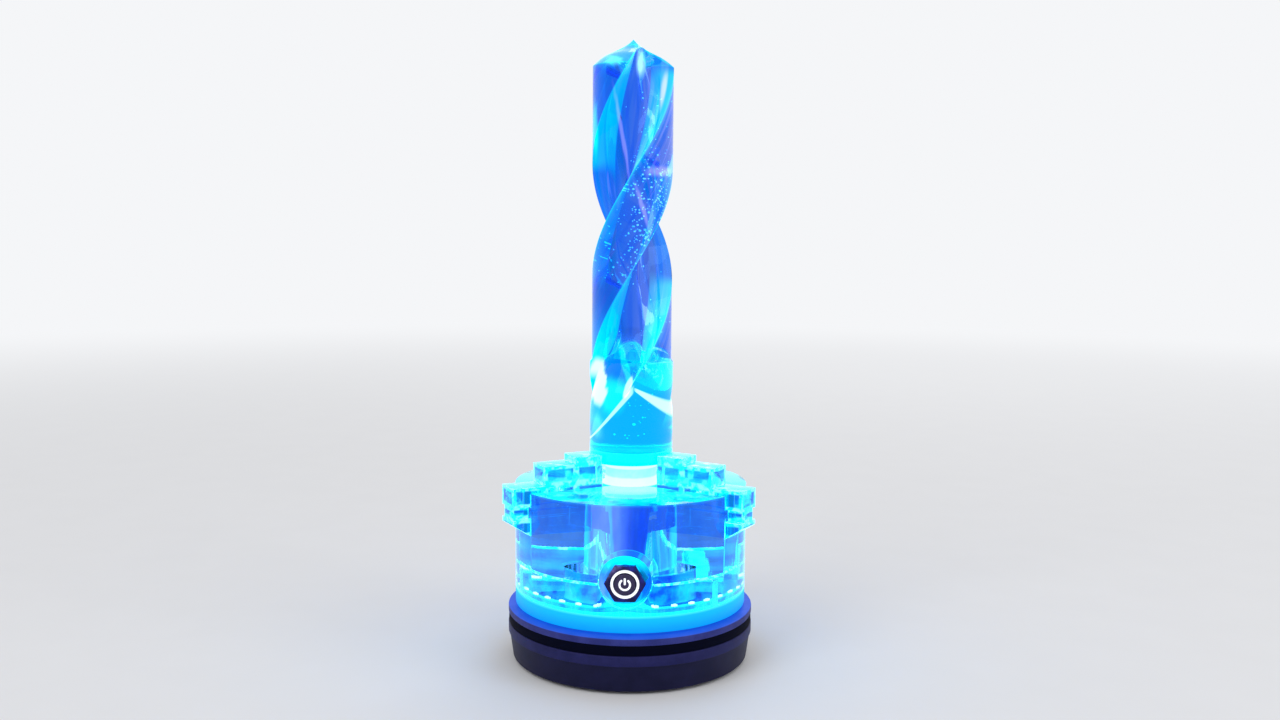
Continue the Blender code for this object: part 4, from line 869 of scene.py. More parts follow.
@dataclass(frozen=True)
class FramedResin(Resin):
    """Flat faces of a jaw: light comes out in a frame along the edges, round a clearer window."""

    degrees: float = 0.0
    side: bool = False
    core: Colour = srgb(190, 255, 252)
    window: float = 0.05
    core_share: float = 0.5
    half_width: float = 7.5 * MM
    frame: Pair = (1.1 * MM, 2.4 * MM)
    ends: tuple[float, ...] = (71.8 * MM, 54.2 * MM, 36.3 * MM)
    levels: tuple[float, ...] = (16.8 * MM, 13.2 * MM, 3.2 * MM, -7 * MM, -13.5 * MM, -22 * MM)

    def light(self, recipe: Recipe, flow: Channel) -> Paint:
        """Draw the frame by the distance to the nearest edge in the jaw's own axes, broken by clouds."""
        x, y, z = recipe.place()
        turn = math.radians(self.degrees - 90)
        cloud = recipe.noise(4 * MM, 2.0)
        near = self.nearest(z - DRUM_TOP, self.levels)
        if self.side:
            other = self.nearest(x * math.cos(turn) + y * math.sin(turn), self.ends)
        else:
            other = self.half_width - (y * math.cos(turn) - x * math.sin(turn)).size()
        near = recipe.number("MINIMUM", near, other) + (cloud - 0.5) * (1.6 * MM)
        frame = 1.0 - near.step(*self.frame)
        glow = recipe.colour(self.glow) * ((frame * (1.0 - self.window) + self.window) * self.level)
        return glow + recipe.colour(self.core) * (frame * cloud.step(0.46, 0.62) * self.core_share)

    def nearest(self, place: Channel, stops: Sequence[float]) -> Channel:
        """Return the distance to the nearest of some places.

        Args:
            place: The shaded point's place along one axis.
            stops: The places.

        Returns:
            The distance.
        """
        least = (place - stops[0]).size()
        for stop in stops[1:]:
            least = least.recipe.number("MINIMUM", least, (place - stop).size())
        return least


@dataclass(frozen=True)
class EdgeGlow(Finish):
    """Edges of cast resin, where the light inside comes out."""

    bright: Colour = srgb(170, 255, 255)
    dim: Colour = srgb(0, 200, 250)
    strength: float = 1.0

    def paint(self, recipe: Recipe) -> None:
        """Glints of white in cyan along the edge."""
        glint = recipe.noise(2.4 * MM, 3.0)
        recipe.principled({
            "Base Color": self.dim,
            "Roughness": 0.1 + glint * 0.1,
            "IOR": CAST_RESIN_IOR,
            "Transmission Weight": 0.6,
            "Emission Color": recipe.mix(glint.step(0.46, 0.62), self.dim, self.bright),
            "Emission Strength": self.strength,
        })


@dataclass(frozen=True)
class BandedPlug(Lit):
    """Frosted plug whose light is whitest at its foot and top, and mint between."""

    flange: Colour = srgb(0, 244, 252)
    top: float = 107.5 * MM

    def paint(self, recipe: Recipe) -> None:
        """Grade the glow with height, with soft clouds."""
        z = recipe.place()[2]
        cloud = recipe.noise(3 * MM, 2.0)
        low = 1.0 - z.step(DRUM_TOP + 3.0 * MM, DRUM_TOP + 4.5 * MM)
        high = z.step(self.top - 3.2 * MM, self.top - 2.4 * MM)
        share = recipe.number("MINIMUM", low + high + cloud * 0.3, 1.0)
        white = recipe.mix(share, self.rim, self.core)
        neck = z.step(DRUM_TOP - 0.35 * MM, DRUM_TOP - 0.15 * MM)
        recipe.principled({
            "Base Color": recipe.mix(cloud, self.base, self.rim),
            "Roughness": 0.5 + cloud * 0.2,
            "Emission Color": recipe.mix(neck, self.flange, white),
            "Emission Strength": self.strength,
            "Normal": recipe.bump(cloud, 0.02 * MM),
        })


WALL = WallResin("clear_resin", "drum_wall", tint=srgb(80, 144, 250), deep=srgb(58, 124, 247), level=0.01)
BORE = BoreResin("clear_resin", "drum_bore", tint=srgb(120, 160, 250), deep=srgb(60, 120, 245), level=0.02)
TOP_FACE = PatchyResin("clear_resin", "drum_top", glow=srgb(0, 236, 250), level=0.85, cell=14 * MM,
                       window_share=0.3, core_share=0.12)
SLOT = Unseen("clear_resin", "drum_slot")
CHAMBER = Matched("clear_resin", "drum_chamber", glow=srgb(0, 240, 255), level=0.75, clear=0.1)
RIDGE = EdgeGlow("clear_resin", "drum_ridge", bright=srgb(190, 255, 255), dim=srgb(0, 220, 245), strength=2.2)
SOLE = PatchyResin("clear_resin", "drum_sole", glow=srgb(0, 240, 250), level=1.7, window_share=0.5,
                   core_share=0.3)
POCKET = PocketResin("clear_resin", "drum_pocket", glow=srgb(0, 240, 255))
CEILING = Matched("clear_resin", "drum_ceiling", glow=srgb(0, 220, 255), level=0.16)
EDGE = EdgeGlow("clear_resin", "drum_edge", bright=srgb(140, 255, 255), strength=0.8)
DRUM_LOOKS = (WALL, EDGE, TOP_FACE, SOLE, POCKET, BORE, CHAMBER, CEILING, RIDGE, SLOT)
JAW_SLIDE = Matched("jaw_resin", "jaws_slide", tint=srgb(184, 220, 255), deep=srgb(166, 208, 255), level=0.06)
JAW_RAIL = replace(JAW_SLIDE, look="jaws_rail", glow=srgb(0, 225, 255), level=0.45)
JAW = FramedResin("jaw_resin", tint=srgb(70, 160, 250), deep=srgb(30, 120, 245), glow=srgb(0, 240, 250),
                  level=0.8)
JAW_TOP = PatchyResin("jaw_resin", "jaws_top", tint=srgb(120, 220, 250), glow=srgb(40, 250, 250), level=0.75,
                      cell=7 * MM, window_share=0.7, core=srgb(235, 255, 255), core_share=0.7)
JAW_EDGE = EdgeGlow("jaw_resin", "jaws_edge", bright=srgb(225, 255, 255), dim=srgb(40, 240, 250),
                    strength=0.85)
DRILL = DrillResin("clear_resin", "drill_resin", level=0.008)
# painted light: the bubbles glow with the light caught in them
BUBBLE = Lit("clear_resin", "bubble_look", core=srgb(150, 240, 255), rim=srgb(40, 200, 255), strength=2.2,
             base=srgb(0, 60, 120))
INSERT = InsertResin("clear_resin", "insert_resin", tint=srgb(40, 170, 250), deep=srgb(20, 130, 245),
                     level=0.08)
PLUG = BandedPlug("frosted_plug", core=srgb(240, 255, 252), rim=srgb(150, 250, 235), strength=0.85,
                  base=srgb(70, 90, 90))
OPAL = Opal("opal_disc")
SHELL = Satin("grey_shell")
# painted light: a lighter, bluer copy of the shell for the top plate, which sits in more light than the body
# below
LIT_RIM = Satin("grey_shell", "rim_look", body=srgb(36, 42, 112), light=srgb(56, 62, 140), lighter=1.0)
RUBBER = Rubber("black_rubber")
HEXAGON = Anodised("black_metal")
CAP = Moulded("button_black", body=srgb(30, 18, 64), flow=srgb(44, 30, 86), roughness=0.3)
WHITE = Lit("lit_white", strength=0.86, base=srgb(30, 34, 40), rim=srgb(236, 246, 255))
NICKEL = Metal("nickel")
# painted light: the chuck's screws glow cyan inside the resin
LIT_STEEL = Lit("steel", "lit_steel_look", core=srgb(60, 236, 250), rim=srgb(0, 200, 245), strength=2.2,
                base=srgb(90, 120, 130))
STEEL = Metal("steel", body=srgb(172, 174, 178), stain=srgb(130, 132, 138), roughness=0.3)
WHITE_BOARD = Board("board_white", mask=srgb(140, 225, 240), track=srgb(190, 240, 248), pitch=3.1 * MM)
GREEN_BOARD = Board("board_green")
# painted light: the tape round the packages glows cyan
TAPE = Lit("package_white", "tape_look", core=srgb(0, 200, 250), rim=srgb(60, 230, 255), strength=2.0,
           base=srgb(60, 140, 160))
PACKAGE = Lit("package_white", "package_look", core=srgb(255, 255, 235), rim=srgb(220, 255, 240),
              strength=3.4)
CHIP = Moulded("chip_black")
TERMINAL = Moulded("terminal_green", body=srgb(24, 120, 70), flow=srgb(34, 146, 88))
INLET = Moulded("inlet_black", roughness=0.34)
RED = Insulation("lead_red")
BLACK = Insulation("lead_black", body=srgb(26, 26, 30), dark=srgb(14, 14, 18))


# Surfaces


def grid_faces(rows: int, columns: int, wrap_rows: bool) -> np.ndarray:
    """Return the quads of a grid whose columns close on themselves.

    Point (i, j) has the number i * columns + j. A quad joins (i, j), (i, j + 1), (i + 1, j + 1), (i + 1, j).

    Args:
        rows: Number of rows.
        columns: Number of columns.
        wrap_rows: Whether the last row joins the first.

    Returns:
        An array of four point numbers a quad.
    """
    i = np.arange(rows if wrap_rows else rows - 1)[:, None]
    j = np.arange(columns)[None, :]
    row, next_row = i * columns, (i + 1) % rows * columns
    after = (j + 1) % columns
    return np.stack([row + j, row + after, next_row + after, next_row + j], -1).reshape(-1, 4)


def mesh_from(points: np.ndarray, faces: list[Sequence[int]]) -> bpy.types.Mesh:
    """Make a mesh from arrays and turn its faces outwards.

    Args:
        points: One point a row.
        faces: Point numbers of each face.

    Returns:
        The mesh.
    """
    mesh = bpy.data.meshes.new("shape")
    mesh.from_pydata(points.reshape(-1, 3).tolist(), [], faces)
    shape = bmesh.new()
    shape.from_mesh(mesh)
    bmesh.ops.recalc_face_normals(shape, faces=shape.faces)
    shape.to_mesh(mesh)
    shape.free()
    return mesh


def lofted(rings: np.ndarray, closed_ends: bool = True) -> bpy.types.Mesh:
    """Skin a stack of rings.

    Args:
        rings: Array of rings by points by three coordinates.
        closed_ends: Whether the ends are flat faces. If not, the last ring joins the first.

    Returns:
        The mesh.
    """
    rows, columns = rings.shape[:2]
    faces = grid_faces(rows, columns, not closed_ends).tolist()
    if closed_ends:
        faces.append(list(range(columns)))
        faces.append(list(range((rows - 1) * columns, rows * columns)))
    return mesh_from(rings, faces)


def turned(profile: np.ndarray, segments: int = 160) -> bpy.types.Mesh:
    """Turn a profile about Z: point (i, j) is (r_i cos a_j, r_i sin a_j, z_i).

    A profile that starts and ends on the axis gets poles there, and any other is closed on itself.

    Args:
        profile: Rows of radius and height.
        segments: Steps round the axis.

    Returns:
        The mesh.
    """
    on_axis = profile[0, 0] < 1e-9 and profile[-1, 0] < 1e-9
    body = profile[1:-1] if on_axis else profile
    angle = np.arange(segments) * (2 * math.pi / segments)
    rings = np.stack([body[:, :1] * np.cos(angle), body[:, :1] * np.sin(angle),
                      np.broadcast_to(body[:, 1:], (len(body), segments))], -1)
    if not on_axis:
        return lofted(rings, False)
    faces = grid_faces(len(body), segments, False).tolist()
    points = rings.reshape(-1, 3)
    count = len(points)
    points = np.vstack([points, [[0, 0, profile[0, 1]], [0, 0, profile[-1, 1]]]])
    j = np.arange(segments)
    after = (j + 1) % segments
    last = count - segments
    faces += np.stack([np.full(segments, count), after, j], -1).tolist()
    faces += np.stack([np.full(segments, count + 1), last + j, last + after], -1).tolist()
    return mesh_from(points, faces)


def rounded(corners: Sequence[Sequence[float]], steps: int = 4, closed: bool = False) -> np.ndarray:
    """Round the corners of a line.

    At a corner of radius r whose sides meet at the angle a, the arc starts r / tan(a / 2) before it, about
    a centre that lies r / sin(a / 2) away on the bisector.

    Args:
        corners: Rows of x, y and the corner's radius.
        steps: Steps in each arc.
        closed: Whether the last corner joins the first.

    Returns:
        Rows of x and y.
    """
    corners = np.array(corners, float)
    count = len(corners)
    share = np.linspace(0, 1, steps + 1)[:, None]
    line = []
    for number, (x, y, radius) in enumerate(corners):
        point = np.array((x, y))
        if radius <= 0 or not (closed or 0 < number < count - 1):
            line.append(point[None])
            continue
        before = corners[number - 1, :2] - point
        after = corners[(number + 1) % count, :2] - point
        before /= np.linalg.norm(before)
        after /= np.linalg.norm(after)
        half = math.acos(np.clip(before @ after, -1, 1)) / 2
        if half > math.pi / 2 - 1e-3:
            line.append(point[None])
            continue
        middle_way = before + after
        centre = point + middle_way / np.linalg.norm(middle_way) * radius / math.sin(half)
        start = point + before * radius / math.tan(half) - centre
        end = point + after * radius / math.tan(half) - centre
        sweep = math.pi - 2 * half
        arc = (np.sin((1 - share) * sweep) * start + np.sin(share * sweep) * end) / math.sin(sweep)
        line.append(centre + arc)
    return np.vstack(line)


def prism(outline: np.ndarray, bottom: float, top: float) -> bpy.types.Mesh:
    """Carry a closed outline straight up from bottom to top."""
    return lofted(np.stack([np.column_stack([outline, np.full(len(outline), z)]) for z in (bottom, top)]))


def tube(path: np.ndarray, radius: float, across: Sequence[float], sides: int = 12) -> bpy.types.Mesh:
    """Carry a circle along a path: point (i, j) is path_i + r (u_i cos a_j + v_i sin a_j).

    u is square to the path and to the across direction, and v to both u and the path.

    Args:
        path: Rows of points.
        radius: The tube's radius.
        across: A direction that the path never runs along.
        sides: Sides of the circle.

    Returns:
        The mesh.
    """
    along = np.gradient(path, axis=0)
    along /= np.linalg.norm(along, axis=1, keepdims=True)
    first = np.cross(along, np.array(across, float))
    first /= np.linalg.norm(first, axis=1, keepdims=True)
    second = np.cross(along, first)
    angle = np.arange(sides)[:, None] * (2 * math.pi / sides)
    around = first[:, None] * np.cos(angle) + second[:, None] * np.sin(angle)
    return lofted(path[:, None] + radius * around)


def smooth_path(stops: Sequence[Sequence[float]], step: float) -> np.ndarray:
    """Run a cubic through stops, whose slope at a stop weighs the nearer neighbour more.

    Args:
        stops: The points that it passes.
        step: The spacing of its points.

    Returns:
        Rows of points.
    """
    stops = np.array(stops, float)
    spans = np.diff(stops, axis=0)
    lengths = np.linalg.norm(spans, axis=1, keepdims=True)
    units = spans / lengths
    weighed = units[:-1] * lengths[1:] + units[1:] * lengths[:-1]
    slopes = np.vstack([units[:1], weighed / (lengths[:-1] + lengths[1:]), units[-1:]])
    pieces = []
    for start, span, length, leave, arrive in zip(stops, spans, lengths[:, 0], slopes, slopes[1:]):
        t = np.linspace(0, 1, max(2, math.ceil(length / step)), endpoint=False)[:, None]
        bend = leave * t * (1 - t) ** 2 - arrive * t * t * (1 - t)
        pieces.append(start + span * t * t * (3 - 2 * t) + bend * length)
    return np.vstack([*pieces, stops[-1:]])


def hoop(inner: float, outer: float, bottom: float, top: float, edge: float,
         segments: int = 160) -> bpy.types.Mesh:
    """Return a ring about Z with rounded edges."""
    corners = [(inner, top, edge), (outer, top, edge), (outer, bottom, edge), (inner, bottom, edge)]
    return turned(rounded(corners, 3, True), segments)


def rod(radius: float, bottom: float, top: float, edge: float = 0.0, segments: int = 32) -> bpy.types.Mesh:
    """Return a rod or disc about Z with rounded edges."""
    corners = [(0, top, 0), (radius, top, edge), (radius, bottom, edge), (0, bottom, 0)]
    return turned(rounded(corners, 3), segments)


def hexagon(flats: float, corner: float) -> np.ndarray:
    """Return a hexagon with rounded corners, which lie at half the flats / cos 30 degrees from its middle.

    Args:
        flats: Its size across flats.
        corner: Radius of its corners.

    Returns:
        Rows of x and y.
    """
    angle = np.arange(6) * (math.pi / 3)
    reach = flats / 2 / math.cos(math.pi / 6)
    corners = np.column_stack([reach * np.cos(angle), reach * np.sin(angle), np.full(6, corner)])
    return rounded(corners, 3, True)


def thread(radius: float, depth: float, start: float, end: float, pitch: float) -> list[Sequence[float]]:
    """Return a thread's corners from its end down to its start.

    Turn k has its crest at start + (k + 1/4) pitch and its root at start + (k + 3/4) pitch.

    Args:
        radius: Radius of the crests.
        depth: How far the roots lie under them.
        start: Where the thread starts along its axis.
        end: Where it ends at the latest.
        pitch: Its pitch.

    Returns:
        Rows of radius, height and a corner radius of 0.
    """
    turns = int((end - start) / pitch)
    crest, root = (radius, 0.25), (radius - depth, 0.75)
    return [(out, start + pitch * (k + share), 0) for k in range(turns) for out, share in (crest, root)][::-1]


def points_of(mesh: bpy.types.Mesh) -> np.ndarray:
    """Return a mesh's points, one a row."""
    flat = np.empty(len(mesh.vertices) * 3)
    mesh.vertices.foreach_get("co", flat)
    return flat.reshape(-1, 3)


def copied(shapes: Sequence[bpy.types.Mesh], turns: np.ndarray, places: np.ndarray,
           sizes: np.ndarray) -> bpy.types.Mesh:
    """Copy meshes to many places: a point p goes to size R p + place, where R turns about Z.

    Args:
        shapes: The meshes, each of which goes to every place.
        turns: Angle of each copy.
        places: Place of each copy.
        sizes: Size of each copy.

    Returns:
        The mesh of all copies.
    """
    points, faces, start = [], [], 0
    cosine, sine = np.cos(turns)[:, None], np.sin(turns)[:, None]
    for shape in shapes:
        x, y, z = points_of(shape).T
        local = np.stack([x * cosine - y * sine, x * sine + y * cosine, np.zeros((len(turns), 1)) + z], -1)
        copies = (places[:, None] + local * sizes[:, None, None]).reshape(-1, 3)
        for offset in range(start, start + len(copies), len(x)):
            faces += [[offset + number for number in face.vertices] for face in shape.polygons]
        points.append(copies)
        start += len(copies)
    return mesh_from(np.vstack(points), faces)


def shifted(mesh: bpy.types.Mesh, x: float, y: float) -> bpy.types.Mesh:
    """Move a mesh sideways and return it."""
    mesh.transform(Matrix.Translation((x, y, 0)))
    return mesh


def lying(y: float, z: float, side: int) -> Matrix:
    """Return the place of a shape whose own +Z points along +Y for side 1 and along -Y for side -1."""
    return Matrix.Translation((0, y, z)) @ Matrix.Rotation(-side * math.pi / 2, 4, "X")


# Objects


def level(node: str) -> Pair:
    """Return the lowest and highest z of a CAD node."""
    low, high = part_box(node)
    return low.z, high.z


def middle(node: str) -> Vector:
    """Return the middle of a CAD node's box."""
    low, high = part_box(node)
    return (low + high) / 2


@dataclass
class Piece:
    """A piece under construction: its mesh is cut, rounded and dressed, and then it joins the frame."""

    name: str
    mesh: bpy.types.Mesh
    item: bpy.types.Object = field(init=False)

    def __post_init__(self) -> None:
        """Link the mesh as an object at the origin."""
        self.item = bpy.data.objects.new(self.name, self.mesh)
        bpy.context.scene.collection.objects.link(self.item)

    def _work(self) -> "Piece":
        """Work the modifiers into the mesh."""
        bpy.context.view_layer.update()
        graph = bpy.context.evaluated_depsgraph_get()
        mesh = bpy.data.meshes.new_from_object(self.item.evaluated_get(graph), depsgraph=graph)
        self.item.modifiers.clear()
        self.item.data = mesh
        return self

    def cut(self, tools: Sequence[bpy.types.Mesh], operation: str = "DIFFERENCE") -> "Piece":
        """Cut meshes from the piece, or intersect them with it.

        Args:
            tools: The meshes.
            operation: The boolean modifier's operation.

        Returns:
            The piece.
        """
        holders = []
        for mesh in tools:
            holder = bpy.data.objects.new("tool", mesh)
            bpy.context.scene.collection.objects.link(holder)
            holders.append(holder)
            boolean = self.item.modifiers.new("cut", "BOOLEAN")
            boolean.operation = operation
            boolean.solver = "EXACT"
            boolean.object = holder
        self._work()
        for holder in holders:
            bpy.data.objects.remove(holder)
        return self

    def round_edges(self, width: float, steps: int = 2, slot: int = -1, degrees: float = 40.0) -> "Piece":
        """Round the edges sharper than an angle.

        Args:
            width: Width of the rounding.
            steps: Its steps.
            slot: Material number of the rounded edges, or -1 for their neighbours'.
            degrees: The least angle that is rounded.

        Returns:
            The piece.
        """
        while len(self.item.data.materials) <= slot:
            self.item.data.materials.append(None)
        bevel = self.item.modifiers.new("edges", "BEVEL")
        bevel.width = width
        bevel.segments = steps
        bevel.limit_method = "ANGLE"
        bevel.angle_limit = math.radians(degrees)
        bevel.material = slot
        bevel.use_clamp_overlap = True
        return self._work()

    def sort_faces(self, rule: Callable[[np.ndarray, np.ndarray, np.ndarray], np.ndarray]) -> "Piece":
        """Give each face its material by a rule.

        Args:
            rule: Takes arrays of centres, normals and material numbers, and returns material numbers.

        Returns:
            The piece.
        """
        faces = self.item.data.polygons
        count = len(faces)
        centres, normals = np.empty(count * 3), np.empty(count * 3)
        numbers = np.empty(count, np.int32)
        faces.foreach_get("center", centres)
        faces.foreach_get("normal", normals)
        faces.foreach_get("material_index", numbers)
        numbers = rule(centres.reshape(-1, 3), normals.reshape(-1, 3), numbers)
        faces.foreach_set("material_index", numbers.astype(np.int32))
        return self

    def split(self, place: Sequence[float], direction: Sequence[float]) -> "Piece":
        """Split the faces that cross a plane, so that each side can have its own material.

        Args:
            place: A point of the plane.
            direction: The plane's normal.

        Returns:
            The piece.
        """
        shape = bmesh.new()
        shape.from_mesh(self.item.data)
        everything = [*shape.verts, *shape.edges, *shape.faces]
        bmesh.ops.bisect_plane(shape, geom=everything, plane_co=place, plane_no=direction, dist=1e-7)
        shape.to_mesh(self.item.data)
        shape.free()
        return self

    def move(self, matrix: Matrix) -> "Piece":
        """Put the mesh in its place by a matrix."""
        self.item.data.transform(matrix)
        return self

    def dress(self, *finishes: Finish) -> "Piece":
        """Give the piece its finishes.

        Args:
            finishes: The finishes, in the order of its faces' material numbers.

        Returns:
            The piece.
        """
        faces, materials = self.item.data.polygons, self.item.data.materials
        numbers = np.empty(len(faces), np.int32)
        faces.foreach_get("material_index", numbers)
        materials.clear()
        for finish in finishes:
            materials.append(finish.material())
        faces.foreach_set("material_index", np.minimum(numbers, len(finishes) - 1))
        return self

    def join_frame(self, body: str = ROOT, degrees: float = 32.0) -> None:
        """Shade the piece, let it ride on a body and stand for the CAD node of its name, if there is one.

        Args:
            body: The body that it rides on.
            degrees: The angle past which an edge stays crisp.
        """
        self.item.data.shade_smooth()
        self.item.data.set_sharp_from_angle(angle=math.radians(degrees))
        self.item.data.name = self.name
        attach(self.item, body)
        if self.name in frame["nodes"]:
            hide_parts(self.name)
            self.item.name = f"{self.name}_look"
        LOG.info("piece %s: %d faces on %s", self.item.name, len(self.item.data.polygons), body)


def add(node: str, mesh: bpy.types.Mesh, finish: Finish, tools: Sequence[bpy.types.Mesh] = (),
        edge: float = 0.0, place: Matrix | None = None, body: str = ROOT) -> None:
    """Make a whole piece of one finish.

    Args:
        node: Its name.
        mesh: Its mesh.
        finish: Its finish.
        tools: Meshes that are cut from it.
        edge: Width of the rounding of its edges, or 0 for none.
        place: The matrix that puts it in its place, if the mesh isn't there yet.
        body: The body that it rides on.
    """
    piece = Piece(node, mesh)
    if tools:
        piece.cut(tools)
    if edge:
        piece.round_edges(edge)
    if place is not None:
        piece.move(place)
    piece.dress(finish).join_frame(body)


def dress_node(node: str, finish: Finish) -> None:
    """Give a CAD node that stays in view its procedural material.

    Args:
        node: Its name.
        finish: Its finish.
    """
    item = frame["nodes"][node]
    material = finish.material()
    if not item.material_slots:
        item.data.materials.append(material)
    for slot in item.material_slots:
        slot.material = material
    LOG.info("node %s: %s", node, material.name)


# Base


@dataclass
class Base:
    """Pad, cover, body, band and top plate, with their screws."""

    radius: float = 66.5 * MM
    taper: float = 2.5 * MM
    collar: float = 5.3 * MM
    wall: float = 13.5 * MM
    lip: float = 3.0 * MM
    pad_radius: float = 50.0 * MM
    edge: float = 0.6 * MM
    crisp: float = 0.2 * MM
    band_width: float = 5.6 * MM
    band_inset: float = 0.25 * MM
    spigot_radius: float = 59.5 * MM
    spigot_height: float = 1.2 * MM
    web: float = 3.8 * MM
    gap: float = 0.3 * MM
    screw_radius: float = 1.9 * MM
    screw_pitch: float = 0.7 * MM
    head_radius: float = 3.4 * MM
    cover_head: float = 1.4 * MM
    other_head: float = 2.2 * MM
    socket_flats: float = 3.0 * MM
    inlet_spot: float = 7.2 * MM
    inlet_bore: float = 4.2 * MM
    inlet_flange: float = 1.8 * MM
    inlet_pocket: float = 9.0 * MM
    groove_depth: float = 0.25 * MM
    grooves: int = 5

    def __post_init__(self) -> None:
        """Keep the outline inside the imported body, whose faceted ring is a hair smaller."""
        self.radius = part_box("base_body")[1].x

    def build(self) -> None:
        """Build the stack from the table up."""
        self.pad()
        self.cover()
        self.body()
        self.band()
        self.plate()
        for node in sorted(frame["nodes"]):
            if "_screw_" in node:
                self.screw(node)

    def pad(self) -> None:
        """Rubber pad with a moulded rim and round grooves in its underside."""
        bottom, top = level("rubber_pad")
        corners = [(0, top, 0), (self.pad_radius, top, self.crisp), (self.pad_radius, bottom, self.edge)]
        for radius in np.linspace(self.pad_radius * 0.9, self.pad_radius * 0.3, self.grooves):
            for out, sunk in ((0, 0), (self.edge, self.groove_depth), (2 * self.edge, 0)):
                corners.append((radius - out, bottom + sunk, 0.1 * MM))
        corners.append((0, bottom, 0))
        add("rubber_pad", turned(rounded(corners, 3)), RUBBER)

    def cover(self) -> None:
        """Bottom cover with the pad's seat and four sinks for its screws."""
        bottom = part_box("cover_screw_1")[0].z
        top = level("base_body")[0] + self.lip + self.gap
        seat = level("rubber_pad")[1] + self.gap
        outer = self.radius - self.taper - self.lip
        inner = self.pad_radius + self.gap
        corners = [(0, top, 0), (outer, top, self.crisp), (outer, bottom, self.edge / 2),
                   (inner, bottom, self.crisp), (inner, seat, 0), (0, seat, 0)]
        tools = []
        for number in range(1, 5):
            centre = middle(f"cover_screw_{number}")
            for radius, height in ((self.screw_radius, top), (self.head_radius, bottom + self.cover_head)):
                sink = rod(radius + self.gap, bottom - MM, height + self.gap)
                tools.append(shifted(sink, centre.x, centre.y))
        add("bottom_cover", turned(rounded(corners, 3)), SHELL, tools)

    def body(self) -> None:
        """Thick turned ring with a tapered lower part, and the inlet's spot face, bore and pocket."""
        bottom, top = level("base_body")
        foot = self.radius - self.taper
        seat = foot - self.lip + self.gap
        ledge = level("bottom_cover")[0] + self.lip + self.gap
        inner = self.radius - self.wall
        collar = top - self.collar
        corners = [(inner, top, self.crisp), (self.radius, top, self.edge), (self.radius, collar, self.crisp),
                   (self.radius - self.edge, collar - self.edge / 2, self.crisp),
                   (foot, bottom, self.edge * 1.5), (seat, bottom, 0.3 * MM), (seat, ledge, 0),
                   (inner, ledge, 0)]
        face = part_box("inlet_housing")[1].y - self.inlet_flange
        spot = rod(self.inlet_spot, 0, 6 * MM, 0, 64)
        bore = rod(self.inlet_bore, -30 * MM, 3 * MM, 0, 48)
        for tool in (spot, bore):
            tool.transform(lying(face, middle("inlet_housing").z, 1))
        end = face - 3.5 * MM
        outline = [(-self.inlet_pocket, 20 * MM, 0), (self.inlet_pocket, 20 * MM, 0),
                   (self.inlet_pocket, end, MM), (-self.inlet_pocket, end, MM)]
        pocket = prism(rounded(outline, 3, True), ledge - 2 * MM, top - 2.4 * MM)
        add("base_body", turned(rounded(corners, 5, True), 240), SHELL, [spot, bore, pocket])

    def band(self) -> None:
        """Black band between the body and the plate, a shade inside their outline."""
        bottom, top = level("black_band")
        section = (self.radius - self.band_width, self.radius - self.band_inset, bottom - self.crisp,
                   top + self.crisp)
        add("black_band", hoop(*section, 0.25 * MM, 240), RUBBER)

    def plate(self) -> None:
        """Top plate: crisp rim, hub, hollow underside and the low spigot under the disc."""
        top = level("top_plate")[1]
        rim_top = top - self.spigot_height
        rim_bottom = level("black_band")[1] + self.gap
        hub = self.radius - self.band_width - self.gap
        hub_bottom = level("black_band")[0]
        hollow = self.radius - self.wall
        under = rim_top - self.web
        corners = [(0, top, 0), (self.spigot_radius, top, 0.3 * MM), (self.spigot_radius, rim_top, 0),
                   (self.radius, rim_top, self.edge), (self.radius, rim_bottom, 0.3 * MM),
                   (hub, rim_bottom, 0), (hub, hub_bottom, 0), (hollow, hub_bottom, 0), (hollow, under, 0),
                   (0, under, 0)]
        add("top_plate", turned(rounded(corners, 4), 240), LIT_RIM, lead_holes(under, top))

    def screw(self, node: str) -> None:
        """Cap screw with its head down: rolled thread, rounded head and hexagon socket.

        Args:
            node: Its name.
        """
        low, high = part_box(node)
        neck = low.z + (self.cover_head if node.startswith("cover") else self.other_head)
        end = high.z - 0.8 * MM
        corners = [(0, high.z, 0), (self.screw_radius - self.screw_pitch, high.z, 0.1 * MM),
                   *thread(self.screw_radius, 0.25 * MM, neck, end, self.screw_pitch),
                   (self.screw_radius, neck, 0), (self.head_radius, neck, 0.3 * MM),
                   (self.head_radius, low.z, 0.25 * MM), (0, low.z, 0)]
        socket = prism(hexagon(self.socket_flats, 0.05 * MM), low.z - MM, low.z + 0.8 * MM)
        centre = middle(node)
        place = Matrix.Translation((centre.x, centre.y, 0))
        look = LIT_STEEL if node.startswith("chuck") else STEEL
        add(node, turned(rounded(corners, 3), 36), look, [socket], place=place)


def lead_holes(bottom: float, top: float) -> list[bpy.types.Mesh]:
    """Return the cutters of the holes that the leads pass, in the plate and the disc."""
    places = ((3.2 * MM, 0.0, -34.0 * MM), (1.4 * MM, 12.0 * MM, -44.7 * MM), (1.4 * MM, 0.0, 0.0))
    return [shifted(rod(radius, bottom - MM, top + MM), x, y) for radius, x, y in places]


# Lights


